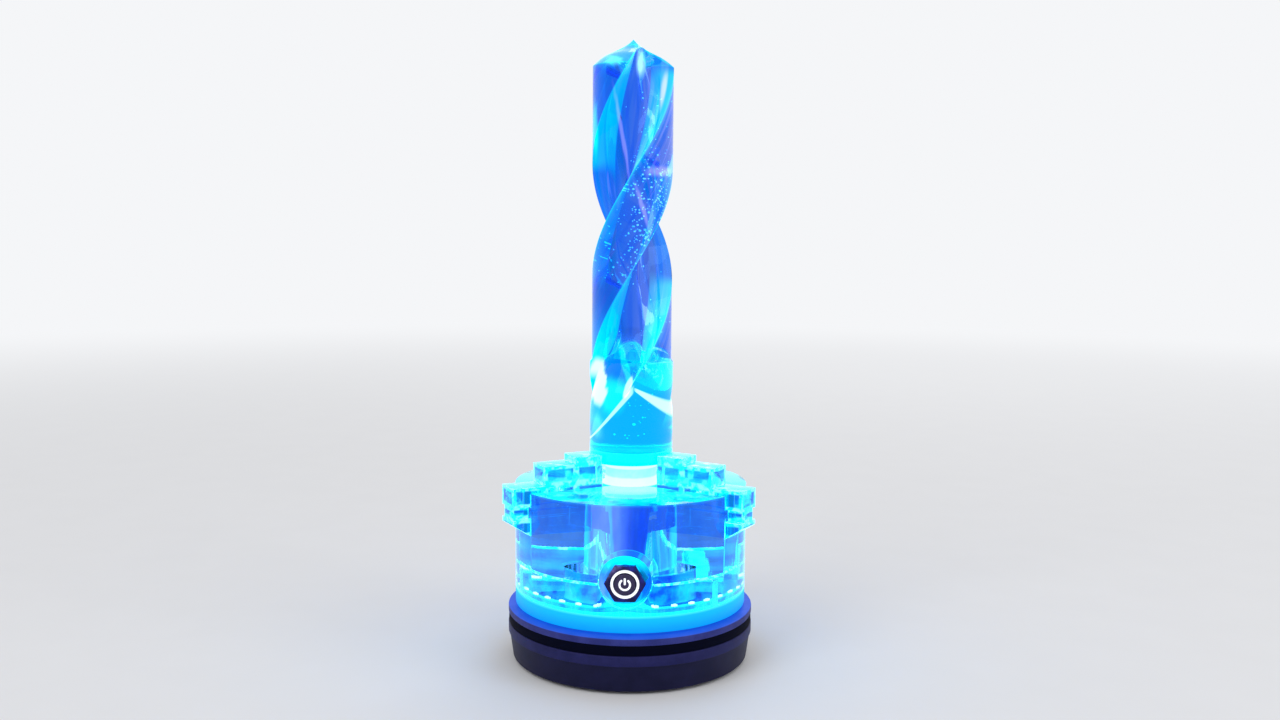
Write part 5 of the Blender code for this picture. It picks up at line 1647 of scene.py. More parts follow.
@dataclass
class Lights:
    """Opal disc, ring of packages, and the emitter under the bore."""

    disc_edge: float = 0.7 * MM
    ring_outer: float = 50.0 * MM
    ring_inner: float = 42.6 * MM
    tape_margin: float = 0.7 * MM
    tape_thickness: float = 0.3 * MM
    packages: int = 32
    package: float = 2.6 * MM
    lens_share: float = 0.36
    lens_height: float = 0.35 * MM
    star_radius: float = 12.5 * MM
    star_wave: float = 0.045
    emitter_radius: float = 4.5 * MM
    emitter_rim: float = 0.8 * MM

    def build(self) -> None:
        """Build disc, boards, tape and emitter."""
        bottom, top = level("diffuser_disc")
        holes = lead_holes(bottom, top)
        add("diffuser_disc", rod(DRUM_RADIUS, bottom, top, self.disc_edge, 240), OPAL, holes)
        board = hoop(self.ring_inner, self.ring_outer, *level("light_ring_board"), 0.15 * MM)
        add("light_ring_board", board, WHITE_BOARD)
        self.tape()
        self.star()

    def tape(self) -> None:
        """Tape with a ring of packages, each a rounded block with a domed lens."""
        bottom, top = level("light_tape")
        surface = bottom + self.tape_thickness
        inner, outer = self.ring_inner + self.tape_margin, self.ring_outer - self.tape_margin
        add("light_tape", hoop(inner, outer, bottom, surface, 0.08 * MM), TAPE)
        angle = (np.arange(self.packages) + 0.5) * (2 * math.pi / self.packages)
        half = self.package / 2
        square = [(-half, -half, 0.5 * MM), (half, -half, 0.5 * MM), (half, half, 0.5 * MM),
                  (-half, half, 0.5 * MM)]
        rim = top - self.lens_height
        block = prism(rounded(square, 2, True), surface, rim)
        quarter = np.linspace(0, math.pi / 2, 5)
        dome = np.column_stack([self.package * self.lens_share * np.sin(quarter),
                                rim + self.lens_height * np.cos(quarter)])
        lens = turned(np.vstack([dome, [(0, top - 0.5 * MM)]]), 16)
        circle = (self.ring_inner + self.ring_outer) / 2
        places = circle * np.stack([np.sin(angle), -np.cos(angle), np.zeros(self.packages)], -1)
        add("light_packages", copied((block, lens), angle, places, np.ones(self.packages)), PACKAGE)

    def star(self) -> None:
        """Star-shaped board with the domed emitter on it."""
        angle = np.linspace(0, 2 * math.pi, 121)[:-1]
        reach = self.star_radius * (1 - self.star_wave + self.star_wave * np.cos(6 * angle))
        outline = np.column_stack([reach * np.cos(angle), reach * np.sin(angle)])
        add("star_board", prism(outline, *level("star_board")), WHITE_BOARD, edge=0.15 * MM)
        bottom, top = level("centre_emitter")
        quarter = np.linspace(0, math.pi / 2, 10)
        foot = bottom + self.emitter_rim
        dome = np.column_stack([self.emitter_radius * np.sin(quarter), foot + (top - foot) * np.cos(quarter)])
        profile = np.vstack([dome, [(self.emitter_radius, bottom), (0, bottom)]])
        add("centre_emitter", turned(profile, 48), WHITE)


# Chuck


class DrumFace(Enum):
    """Kinds of face on the drum, in the order of its looks."""

    WALL = 0
    EDGE = 1
    TOP = 2
    SOLE = 3
    POCKET = 4
    BORE = 5
    CHAMBER = 6
    CEILING = 7
    RIDGE = 8
    SLOT = 9


class JawFace(Enum):
    """Kinds of face on a jaw, in the order of its looks."""

    END = 0
    EDGE = 1
    TOP = 2
    SLIDE = 3
    SIDE = 4
    RAIL = 5


@dataclass
class Chuck:
    """Drum, jaws and light plug."""

    mouth: float = 17.0 * MM
    mouth_depth: float = 6.3 * MM
    chamber_radius: float = 51.0 * MM
    chamber_depth: float = 14.5 * MM
    chamber_edge: float = 1.2 * MM
    hub: float = 22.5 * MM
    jaw_width: float = 15.0 * MM
    jaw_waist: float = 9.0 * MM
    jaw_nose: float = 3.0 * MM
    jaw_edge: float = 0.7 * MM
    block_depth: float = 7.0 * MM
    waist_depth: float = 6.5 * MM
    foot_depth: float = 8.5 * MM
    toe_height: float = 6.0 * MM
    toe_run: float = 9.0 * MM
    steps: tuple[Pair, ...] = ((71.8 * MM, 3.2 * MM), (54.2 * MM, 13.2 * MM), (36.3 * MM, 16.8 * MM))
    shank_lift: float = 11.8 * MM
    pocket_end: float = 27.0 * MM
    screw_hole: float = 2.2 * MM
    neck: float = 14.2 * MM
    gap: float = 0.3 * MM
    edge: float = 0.55 * MM
    jaws: tuple[tuple[str, str, float], ...] = (
        ("jaw_left", "left_jaw", -60.0), ("jaw_right", "right_jaw", 60.0), ("jaw_back", "back_jaw", 180.0))

    def build(self) -> None:
        """Build the drum with its plug, then the three jaws."""
        self.drum()
        self.plug()
        for jaw in self.jaws:
            self.jaw(*jaw)

    def slide(self, degrees: float) -> Matrix:
        """Return the matrix that takes a jaw's frame, +X outwards, to its place."""
        top = level("chuck_body")[1]
        return Matrix.Translation((0, 0, top)) @ Matrix.Rotation(math.radians(degrees - 90), 4, "Z")

    def slot_tool(self, degrees: float) -> bpy.types.Mesh:
        """Return the cutter of a guide slot: its section carried outwards past the wall.

        Args:
            degrees: The slot's direction.

        Returns:
            The cutter.
        """
        wide = self.jaw_width / 2 + self.gap
        narrow = self.jaw_waist / 2 + self.gap
        rail_top = -self.block_depth - self.gap
        rail_bottom = -self.block_depth - self.waist_depth + self.gap
        bottom = -self.block_depth - self.waist_depth - self.foot_depth - self.gap
        half = np.array([(wide, 2 * MM), (wide, rail_top), (narrow, rail_top), (narrow, rail_bottom),
                         (wide, rail_bottom), (wide, bottom)])
        section = np.vstack([half, half[::-1] * (-1, 1)])
        rings = [np.column_stack([np.full(len(section), x), section])
                 for x in (BORE_RADIUS / 2, DRUM_RADIUS + 2 * MM)]
        mesh = lofted(np.stack(rings))
        mesh.transform(self.slide(degrees))
        return mesh

    def drum(self) -> None:
        """Drum: turned section with bore and chamber, cut by the slots and the button's pocket."""
        bottom, top = level("chuck_body")
        ceiling = bottom + self.chamber_depth
        shelf = top - self.mouth_depth
        corners = [(self.mouth, top, 0), (DRUM_RADIUS, top, 0), (DRUM_RADIUS, bottom, 0),
                   (self.chamber_radius, bottom, 0), (self.chamber_radius, ceiling, self.chamber_edge),
                   (self.hub, ceiling, self.chamber_edge), (self.hub, bottom, 0), (BORE_RADIUS, bottom, 0),
                   (BORE_RADIUS, shelf, 0), (self.mouth, shelf, 0)]
        tools = [self.slot_tool(degrees) for _, _, degrees in self.jaws]
        height = middle("button_insert").z
        pocket = rod(INSERT_RADIUS + self.gap, -self.pocket_end, 5 * MM, 0, 96)
        pocket.transform(lying(-INSERT_FACE, height, -1))
        tools.append(pocket)
        for number in range(1, 4):
            centre = middle(f"chuck_screw_{number}")
            end = level(f"chuck_screw_{number}")[1] + self.gap
            tools.append(shifted(rod(self.screw_hole, bottom - MM, end), centre.x, centre.y))

        def face_of(centres: np.ndarray, normals: np.ndarray, numbers: np.ndarray) -> np.ndarray:
            """Tell the kinds of face apart by place and direction. The first test that holds counts.

            Args:
                centres: Centres of the faces.
                normals: Their normals.
                numbers: Their material numbers, which tell the rounded edges from the rest.

            Returns:
                The number of each face's kind.
            """
            x, y, z = centres.T
            out = np.hypot(x, y)
            outward = (x * normals[:, 0] + y * normals[:, 1]) / np.maximum(out, 1e-6)
            in_pocket = np.hypot(x, z - height) < INSERT_RADIUS + self.gap + 0.2 * MM
            outer = (out > DRUM_RADIUS - 2 * self.edge) | (z > top - self.edge)
            rolled = (numbers == DrumFace.EDGE.value) & outer
            rims = (z > top - 2 * self.edge) | (z < bottom + 2 * self.edge)
            inside = (z < ceiling + 0.1 * MM) & (out < self.chamber_radius + 0.1 * MM)
            corner = (z > ceiling - 1.3 * MM) & (out > self.chamber_radius - 1.3 * MM)
            level_down = (normals[:, 2] < -0.9) & (z > bottom + MM) & (z < ceiling + 0.1 * MM)
            tests = {
                DrumFace.EDGE: rolled & rims,
                DrumFace.WALL: (outward > 0.98) | rolled,
                DrumFace.TOP: z > top - 0.05 * MM,
                DrumFace.SOLE: z < bottom + 0.05 * MM,
                DrumFace.POCKET: (y < 0) & in_pocket & (out > self.hub),
                DrumFace.BORE: (out < self.mouth + 0.2 * MM) & (outward < -0.9),
                DrumFace.RIDGE: inside & corner,
                DrumFace.CEILING: level_down,
                DrumFace.CHAMBER: inside,
            }
            return np.select(list(tests.values()), [face.value for face in tests], DrumFace.SLOT.value)

        piece = Piece("chuck_body", turned(rounded(corners, 5, True), 240)).cut(tools)
        piece.round_edges(self.edge, 2, DrumFace.EDGE.value).sort_faces(face_of)
        piece.dress(*DRUM_LOOKS).join_frame()

    def plug(self) -> None:
        """Frosted plug: flange in the bore's mouth and a neck that narrows a little in the middle."""
        bottom, top = level("light_plug")
        face = level("chuck_body")[1]
        flange = self.mouth - self.gap
        corners = [(0, top, 0), (self.neck, top, 0.4 * MM), (self.neck - 0.5 * MM, (top + face) / 2, 3 * MM),
                   (self.neck, face + 0.8 * MM, 0.5 * MM), (self.neck + 1.2 * MM, face, 0.3 * MM),
                   (flange, face - 0.4 * MM, 0.2 * MM), (flange, bottom, 0.3 * MM), (0, bottom, 0)]
        add("light_plug", turned(rounded(corners, 5), 128), PLUG)

    def jaw(self, node: str, body: str, degrees: float) -> None:
        """Stepped jaw: side outline carried across, grooved for its guide and seated on the shank.

        Args:
            node: Its name.
            body: The body that it rides on.
            degrees: Its direction.
        """
        tip = self.mouth + 2 * self.gap
        waist_bottom = -self.block_depth - self.waist_depth
        bottom = waist_bottom - self.foot_depth
        (reach, low), (second, mid), (third, high) = self.steps
        outline = np.array([(tip, bottom), (reach - self.toe_run, bottom), (reach, bottom + self.toe_height),
                            (reach, low), (second, low), (second, mid), (third, mid), (third, high),
                            (tip, high)])
        half = self.jaw_width / 2
        rings = [np.column_stack([outline[:, 0], np.full(len(outline), y), outline[:, 1]])
                 for y in (-half, half)]
        depth = (self.jaw_width - self.jaw_waist) / 2
        slope = math.tan(math.radians(60))
        run = (self.jaw_width - self.jaw_nose) / 2 / slope + MM
        tools = []
        for side in (-1, 1):
            centre = side * (self.jaw_waist / 2 + depth)
            groove = np.array([(tip - MM, centre - depth), (reach + MM, centre - depth),
                               (reach + MM, centre + depth), (tip - MM, centre + depth)])
            tools.append(prism(groove, waist_bottom, -self.block_depth))
        for side in (-1, 1):
            wide = side * (self.jaw_nose / 2 + run * slope)
            nose = np.array([(tip - MM, side * (self.jaw_nose / 2 - MM * slope)), (tip + run, wide),
                             (tip - MM, wide)])
            tools.append(prism(nose, bottom - MM, high + MM))
        tools.append(rod(SHANK_RADIUS + self.gap, self.shank_lift - self.gap, high + MM, 0, 192))

        def face_of(centres: np.ndarray, normals: np.ndarray, numbers: np.ndarray) -> np.ndarray:
            """Tell tops, ends, sides and edges from the faces inside the drum, which match its resin.

            Args:
                centres: Centres of the faces.
                normals: Their normals.
                numbers: Their material numbers, which tell the rounded edges from the rest.

            Returns:
                The number of each face's kind.
            """
            buried = (centres[:, 2] < -self.gap) & (centres[:, 0] < DRUM_RADIUS)
            upward = (normals[:, 2] > 0.9) & (centres[:, 2] > 0)
            under_toe = (normals[:, 2] < -0.8) & (centres[:, 0] > DRUM_RADIUS)
            rolled = numbers == JawFace.EDGE.value
            tests = [buried & rolled, buried, rolled, upward | under_toe, np.abs(normals[:, 1]) > 0.7]
            kinds = [JawFace.RAIL, JawFace.SLIDE, JawFace.EDGE, JawFace.TOP, JawFace.SIDE]
            return np.select(tests, [kind.value for kind in kinds], JawFace.END.value)

        piece = Piece(node, lofted(np.stack(rings))).cut(tools)
        piece.round_edges(self.jaw_edge, 3, JawFace.EDGE.value)
        piece.split((DRUM_RADIUS, 0, 0), (1, 0, 0)).split((0, 0, -self.gap), (0, 0, 1)).sort_faces(face_of)
        end = replace(JAW, look=f"{node}_end", degrees=degrees)
        flank = replace(JAW, look=f"{node}_side", degrees=degrees, side=True)
        piece.move(self.slide(degrees)).dress(end, JAW_EDGE, JAW_TOP, JAW_SLIDE, flank, JAW_RAIL)
        piece.join_frame(body)


# Drill


@dataclass
class Drill:
    """Two-flute twist drill, point up, and the air bubbles cast into it."""

    fluted_radius: float = 21.4 * MM
    shank_length: float = 54.0 * MM
    length: float = 223.3 * MM
    point: float = 14.1 * MM
    ogee_share: float = 0.07
    web: float = 5.0 * MM
    lead: float = 220.0 * MM
    land_degrees: float = 82.6
    land_height: float = 126.5 * MM
    run_out_start: float = 16.0 * MM
    run_out: float = 56.0 * MM
    ring_height: float = 6.9 * MM
    ring_groove: float = 0.5 * MM
    ring_edge: float = 0.2 * MM
    shank_edge: float = 1.2 * MM
    flute_columns: int = 44
    land_columns: int = 28
    rows: int = 260
    point_rows: int = 16
    crowd_share: float = 0.7
    margin_width: float = 0.4 * MM
    bank_width: float = 2.2 * MM
    cut_in_rate: float = 400.0
    least_depth: float = 0.05 * MM
    bubbles: int = 260
    bubble_seed: int = 7
    bubble_size: float = 0.3 * MM
    bubble_spread: float = 0.35
    bubble_cover: float = 1.2 * MM
    bubble_foot: float = 50.0 * MM
    bubble_ends: float = 72.0 * MM
    bubble_turn: Pair = (28.0, 38.0)
    bubble_reach: Pair = (0.2, 0.93)
    bunch: Pair = (0.5, 0.16)
    bunch_share: float = 0.55
    shank_bubbles: Pair = (8.0 * MM, 42.0 * MM)
    shank_share: float = 0.07

    def build(self) -> None:
        """Build the drill and its bubbles."""
        self.drill()
        self.bubble_cloud()

    def half_flute(self) -> float:
        """Return half of a flute's angle in radians."""
        return math.radians(180 - self.land_degrees) / 2

    def twist(self, height: np.ndarray) -> np.ndarray:
        """Return how far the section is turned at a height: 2 pi (height - land_height) / lead."""
        return 2 * math.pi * (height - self.land_height) / self.lead

    def flute_depth(self, off: np.ndarray) -> np.ndarray:
        """Return how deep the flute lies below the land.

        The flute is one round arc through both land edges that leaves the web at its middle.

        Args:
            off: Angles off the flute's middle in radians.

        Returns:
            The depths.
        """
        half = self.half_flute()
        reach = self.fluted_radius * math.cos(half) - self.web
        centre = (self.fluted_radius ** 2 - self.web ** 2) / 2 / reach
        arc = centre - self.web
        inside = np.maximum(arc ** 2 - (centre * np.sin(off)) ** 2, 0)
        depth = self.fluted_radius - centre * np.cos(off) + np.sqrt(inside)
        return np.where(np.abs(off) < half, depth, 0)

    def spread(self, count: int) -> np.ndarray:
        """Return shares from -1 to 1 that crowd at both ends: a line mixed with a sine of it."""
        line = np.linspace(-1, 1, count, endpoint=False)
        return self.crowd_share * np.sin(math.pi / 2 * line) + (1 - self.crowd_share) * line

    def section(self) -> tuple[np.ndarray, np.ndarray, np.ndarray]:
        """Work out the columns of the section: two flutes and two lands by turns, each crowded at its ends.

        Returns:
            Each column's angle, flute depth and distance from the nearest land edge.
        """
        half_flute = self.half_flute()
        half_land = math.radians(self.land_degrees) / 2
        flute = half_flute * self.spread(self.flute_columns)
        land = half_land * self.spread(self.land_columns)
        depth = np.concatenate([self.flute_depth(flute), np.zeros(self.land_columns)])
        nearest = np.concatenate([half_flute - np.abs(flute), half_land - np.abs(land)]) * self.fluted_radius
        angle = np.concatenate([math.pi / 2 + flute, math.pi + land])
        return np.concatenate([angle, angle + math.pi]), np.tile(depth, 2), np.tile(nearest, 2)

    def point_drop(self, radius: np.ndarray) -> np.ndarray:
        """Return how far the point's surface lies below the tip: a cone with a slight ogee."""
        share = radius / self.fluted_radius
        return self.point * (share + self.ogee_share * np.sin(2 * math.pi * share))

    def fade(self, height: np.ndarray) -> np.ndarray:
        """Return how far the flutes are cut in: the square of a smooth step over their run-out."""
        into = np.clip((height - self.run_out_start) / self.run_out, 0, 1)
        return (into * into * (3 - 2 * into)) ** 2

    def blank(self, height: np.ndarray) -> np.ndarray:
        """Return the blank's radius, which drops by a small step above the shank."""
        return SHANK_RADIUS - np.clip(height - self.shank_length, 0, SHANK_RADIUS - self.fluted_radius)

    def drill(self) -> None:
        """Loft the section up the lead: column j of row i stands at its angle plus the row's twist."""
        angle, depth, nearest = self.section()
        count = len(angle)
        groove = [(SHANK_RADIUS - sunk, self.ring_height + off, self.ring_edge)
                  for sunk, off in ((0, -self.ring_groove), (self.ring_groove, 0), (0, self.ring_groove))]
        shank = rounded([(0, 0, 0), (SHANK_RADIUS, 0, self.shank_edge), *groove,
                         (SHANK_RADIUS, self.run_out_start, 0)], 4)[1:-1]
        top = self.length - self.point_drop(self.fluted_radius - depth)
        share = np.linspace(0, 1, self.rows)[:, None]
        height = self.run_out_start + (top - self.run_out_start) * share
        radius = self.blank(height) - self.fade(height) * depth
        point_radius = (self.fluted_radius - depth) * np.linspace(1, 0.03, self.point_rows)[1:, None]
        point_height = self.length - self.point_drop(point_radius)
        radii = np.vstack([np.repeat(shank[:, :1], count, 1), radius, point_radius])
        heights = np.vstack([np.repeat(shank[:, 1:], count, 1), height, point_height])
        turn = angle + self.twist(heights)
        mesh = lofted(np.stack([radii * np.sin(turn), -radii * np.cos(turn), heights], -1))
        self.mark(mesh, angle, depth, nearest, radii, heights)
        place = Matrix.Translation((0, 0, level("resin_drill")[0]))
        Piece("resin_drill", mesh).move(place).dress(DRILL).join_frame(degrees=38.0)

    def mark(self, mesh: bpy.types.Mesh, angle: np.ndarray, depth: np.ndarray, nearest: np.ndarray,
             radii: np.ndarray, heights: np.ndarray) -> None:
        """Store on the mesh's points what the resin's light follows.

        margin is a narrow bell round each land edge; bank falls off across each land from its lower edge;
        flute is 1 in a flute; point is 1 on the point; untwisted is the point with its turn left out.

        Args:
            mesh: The drill's mesh.
            angle: Each column's angle.
            depth: Each column's flute depth.
            nearest: Each column's distance from the nearest land edge.
            radii: Radius of each point.
            heights: Height of each point.
        """
        fluted = np.clip(self.fade(heights) * self.cut_in_rate, 0, 1)
        turn = (angle + math.pi / 2) % math.pi - math.pi / 2
        from_bank = (turn + math.radians(self.land_degrees) / 2) * self.fluted_radius
        bank = np.where(depth > 0, 0, np.exp(-np.abs(from_bank) / self.bank_width))
        row = np.arange(len(radii))[:, None]
        marks = {
            "margin": np.exp(-(nearest / self.margin_width) ** 2) * fluted,
            "bank": bank * fluted,
            "flute": (depth > self.least_depth) * fluted,
            "point": np.broadcast_to(row >= len(radii) - self.point_rows, radii.shape),
        }
        for name, values in marks.items():
            held = mesh.attributes.new(name, "FLOAT", "POINT")
            held.data.foreach_set("value", values.astype(np.float32).ravel())
        untwisted = np.stack([radii * np.sin(angle), -radii * np.cos(angle), heights], -1)
        held = mesh.attributes.new("untwisted", "FLOAT_VECTOR", "POINT")
        held.data.foreach_set("vector", untwisted.astype(np.float32).ravel())

    def bubble_cloud(self) -> None:
        """Scatter small bubbles inside the body: a point is kept where the section's radius there is larger.

        Most heights crowd round the middle of the fluted part, and a few lie in the shank. Each bubble is a
        small eight-sided ball.
        """
        random = np.random.default_rng(self.bubble_seed)
        tries = 6 * self.bubbles
        spread = np.where(random.random(tries) < self.bunch_share, random.normal(*self.bunch, tries),
                          random.random(tries))
        height = self.bubble_foot + (self.length - self.bubble_ends) * np.clip(spread, 0, 1)
        in_shank = random.random(tries) < self.shank_share
        height = np.where(in_shank, random.uniform(*self.shank_bubbles, tries), height)
        turn = np.radians(random.normal(*self.bubble_turn, tries))
        out = self.fluted_radius * random.uniform(*self.bubble_reach, tries)
        off = (turn - self.twist(height)) % math.pi - math.pi / 2
        allowed = self.fluted_radius - self.flute_depth(off) - self.bubble_cover
        kept = np.flatnonzero(out < allowed)[:self.bubbles]
        size = random.lognormal(math.log(self.bubble_size), self.bubble_spread, len(kept))
        bottom = level("resin_drill")[0]
        centre = np.stack([out * np.sin(turn), -out * np.cos(turn), height + bottom], -1)[kept]
        arc = np.linspace(0, math.pi, 5)
        profile = np.column_stack([np.sin(arc), np.cos(arc)])
        profile[[0, -1], 0] = 0
        add("drill_bubbles", copied([turned(profile, 8)], np.zeros(len(kept)), centre, size), BUBBLE)


# Button


@dataclass
class Button:
    """Hexagon power button in its clear insert, on an axis whose +Z points out of the drum."""

    flats: float = 18.1 * MM
    barrel: float = 8.0 * MM
    bore: float = 5.5 * MM
    ring_outer: float = 7.15 * MM
    ring_inner: float = 5.9 * MM
    ring_depth: float = 1.6 * MM
    face_rim: float = 0.9 * MM
    cap: float = 5.2 * MM
    cap_depth: float = 3.5 * MM
    chamfer: float = 1.1 * MM
    gap: float = 0.3 * MM
    stem: float = 2.4 * MM
    symbol_radius: float = 3.15 * MM
    stroke: float = 1.05 * MM
    opening_degrees: float = 80.0
    bar: float = 3.55 * MM
    bar_rise: float = 0.25 * MM
    bar_corner: float = 0.45 * MM
    symbol_depth: float = 0.6 * MM
    thread_pitch: float = 1.0 * MM
    thread_depth: float = 0.35 * MM
    nut_flats: float = 19.5 * MM
    block_radius: float = 7.2 * MM
    nose: float = 3.0 * MM
    tab_place: float = 3.0 * MM
    tab_half_width: float = 1.4 * MM
    tab_thickness: float = 0.5 * MM
    tab_hole: float = 0.6 * MM

    def build(self) -> None:
        """Build the housing, the moving cap and the contacts."""
        self.housing()
        self.bezel()
        self.switch()
        self.moving_cap()
        self.contacts()

    def axis(self) -> Matrix:
        """Return the matrix that lays a shape on the button's axis."""
        return lying(-INSERT_FACE, middle("hex_bezel").z, -1)

    def span(self, node: str) -> Pair:
        """Return where a node lies along the button's axis."""
        low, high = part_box(node)
        return -high.y - INSERT_FACE, -low.y - INSERT_FACE

    def add(self, node: str, mesh: bpy.types.Mesh, finish: Finish, tools: Sequence[bpy.types.Mesh] = (),
            edge: float = 0.0, body: str = ROOT) -> None:
        """Make one piece of the button in its place."""
        add(node, mesh, finish, tools, edge, self.axis(), body)

    def housing(self) -> None:
        """Clear insert and the seal behind the hexagon."""
        hole = self.barrel + self.gap
        self.add("button_insert", hoop(hole, INSERT_RADIUS, *self.span("button_insert"), 0.5 * MM), INSERT)
        self.add("button_seal", hoop(hole, self.flats / 2, *self.span("button_seal"), 0.25 * MM), RUBBER)

    def bezel(self) -> None:
        """Hexagon with a chamfered face, opened in steps for the lit ring and the cap, and the ring."""
        rear, front = self.span("hex_bezel")
        corner = self.flats / 2 / math.cos(math.pi / 6)
        dome = turned(rounded([(0, front, 0), (self.ring_outer + self.face_rim, front, MM),
                               (corner, front - self.chamfer, 0), (corner + 2 * MM, rear - MM, 0),
                               (0, rear - MM, 0)], 4), 96)
        opening = turned(np.array([(0, front + MM), (self.ring_outer + self.gap, front + MM),
                                   (self.ring_outer + self.gap, front - self.ring_depth),
                                   (self.bore, front - self.ring_depth), (self.bore, rear + MM),
                                   (self.barrel + self.gap, rear + MM), (self.barrel + self.gap, rear - MM),
                                   (0, rear - MM)]), 96)
        piece = Piece("hex_bezel", prism(hexagon(self.flats, 0.3 * MM), rear, front))
        piece.cut([dome], "INTERSECT").cut([opening]).round_edges(0.12 * MM)
        piece.move(self.axis()).dress(HEXAGON).join_frame()
        ring = hoop(self.ring_inner, self.ring_outer, *self.span("light_ring"), 0.2 * MM)
        self.add("light_ring", ring, WHITE)

    def switch(self) -> None:
        """Threaded barrel of the switch and its nut."""
        rear, front = self.span("switch_barrel")
        ridges = thread(self.barrel, self.thread_depth, rear + MM, front - MM, self.thread_pitch)
        section = rounded([(self.bore, front, 0), (self.barrel, front, 0.2 * MM), *ridges,
                           (self.barrel, rear, 0.2 * MM), (self.bore, rear, 0)], 2, True)
        self.add("switch_barrel", turned(section, 96), NICKEL)
        rear, front = self.span("switch_nut")
        hole = rod(self.barrel + self.gap / 2, rear - MM, front + MM, 0, 64)
        nut = prism(hexagon(self.nut_flats, 0.5 * MM), rear, front)
        self.add("switch_nut", nut, NICKEL, [hole], 0.3 * MM)

    def symbol(self) -> dict[str, np.ndarray]:
        """Draw the power symbol: an open ring with round ends, and a bar.

        Returns:
            The outlines by the names of their pieces.
        """
        half_stroke = self.stroke / 2
        centre_line = self.symbol_radius - half_stroke
        half = math.radians(self.opening_degrees) / 2
        sweep = np.linspace(math.pi / 2 + half, math.pi * 5 / 2 - half, 40)
        along = np.stack([np.cos(sweep), np.sin(sweep)], -1)
        round_end = np.linspace(0, math.pi, 8)[1:-1]
        ends = []
        for point, turn in ((along[-1], sweep[-1] + round_end), (along[0], sweep[0] + round_end + math.pi)):
            ends.append(centre_line * point + half_stroke * np.stack([np.cos(turn), np.sin(turn)], -1))
        arc = np.vstack([along * (centre_line + half_stroke), ends[0],
                         along[::-1] * (centre_line - half_stroke), ends[1]])
        top = self.symbol_radius + self.bar_rise
        foot = top - self.bar
        corners = ((-half_stroke, foot), (half_stroke, foot), (half_stroke, top), (-half_stroke, top))
        bar = rounded([(*corner, self.bar_corner) for corner in corners], 4, True)
        return {"symbol_arc": arc, "symbol_bar": bar}

    def moving_cap(self) -> None:
        """Cap on its stem, with the symbol's pieces let into its face."""
        rear, front = self.span("button_cap")
        back = front - self.cap_depth
        floor = front - self.symbol_depth
        corners = [(0, front, 0), (self.cap, front, 0.25 * MM), (self.cap, back, 0.3 * MM),
                   (self.stem, back, 0.2 * MM), (self.stem, rear, 0.3 * MM), (0, rear, 0)]
        outlines = self.symbol()
        tools = [prism(outline, floor, front + MM) for outline in outlines.values()]
        self.add("button_cap", turned(rounded(corners, 4), 96), CAP, tools, body=BUTTON_BODY)
        for name, outline in outlines.items():
            inlay = prism(outline * 0.985, floor + 0.05 * MM, front - 0.02 * MM)
            self.add(name, inlay, WHITE, body=BUTTON_BODY)

    def contacts(self) -> None:
        """Contact block with a stepped nose, and its two tabs with round holes."""
        rear, front = self.span("contact_block")
        inner, shoulder = self.bore - self.gap, front - self.nose
        corners = [(0, front, 0), (inner, front, 0.3 * MM), (inner, shoulder, 0),
                   (self.block_radius, shoulder, 0.4 * MM), (self.block_radius, rear, 0.6 * MM), (0, rear, 0)]
        self.add("contact_block", turned(rounded(corners, 3), 64), CHIP)
        half, thick = self.tab_half_width, self.tab_thickness / 2
        for node, x in (("switch_tab_left", -self.tab_place), ("switch_tab_right", self.tab_place)):
            rear, front = self.span(node)
            outline = rounded([(-half, front, 0), (-half, rear, 1.1 * MM), (half, rear, 1.1 * MM),
                               (half, front, 0)], 5, True)
            mesh = prism(outline, x - thick, x + thick)
            mesh.transform(Matrix(((0, 0, 1, 0), (1, 0, 0, 0), (0, 1, 0, 0), (0, 0, 0, 1))))
            hole = rod(self.tab_hole, -5 * MM, 5 * MM, 0, 20)
            hole.transform(Matrix.Translation((0, 0, rear + half)) @ Matrix.Rotation(math.pi / 2, 4, "Y"))
            self.add(node, mesh, NICKEL, [hole])


# Inlet, leads and controller


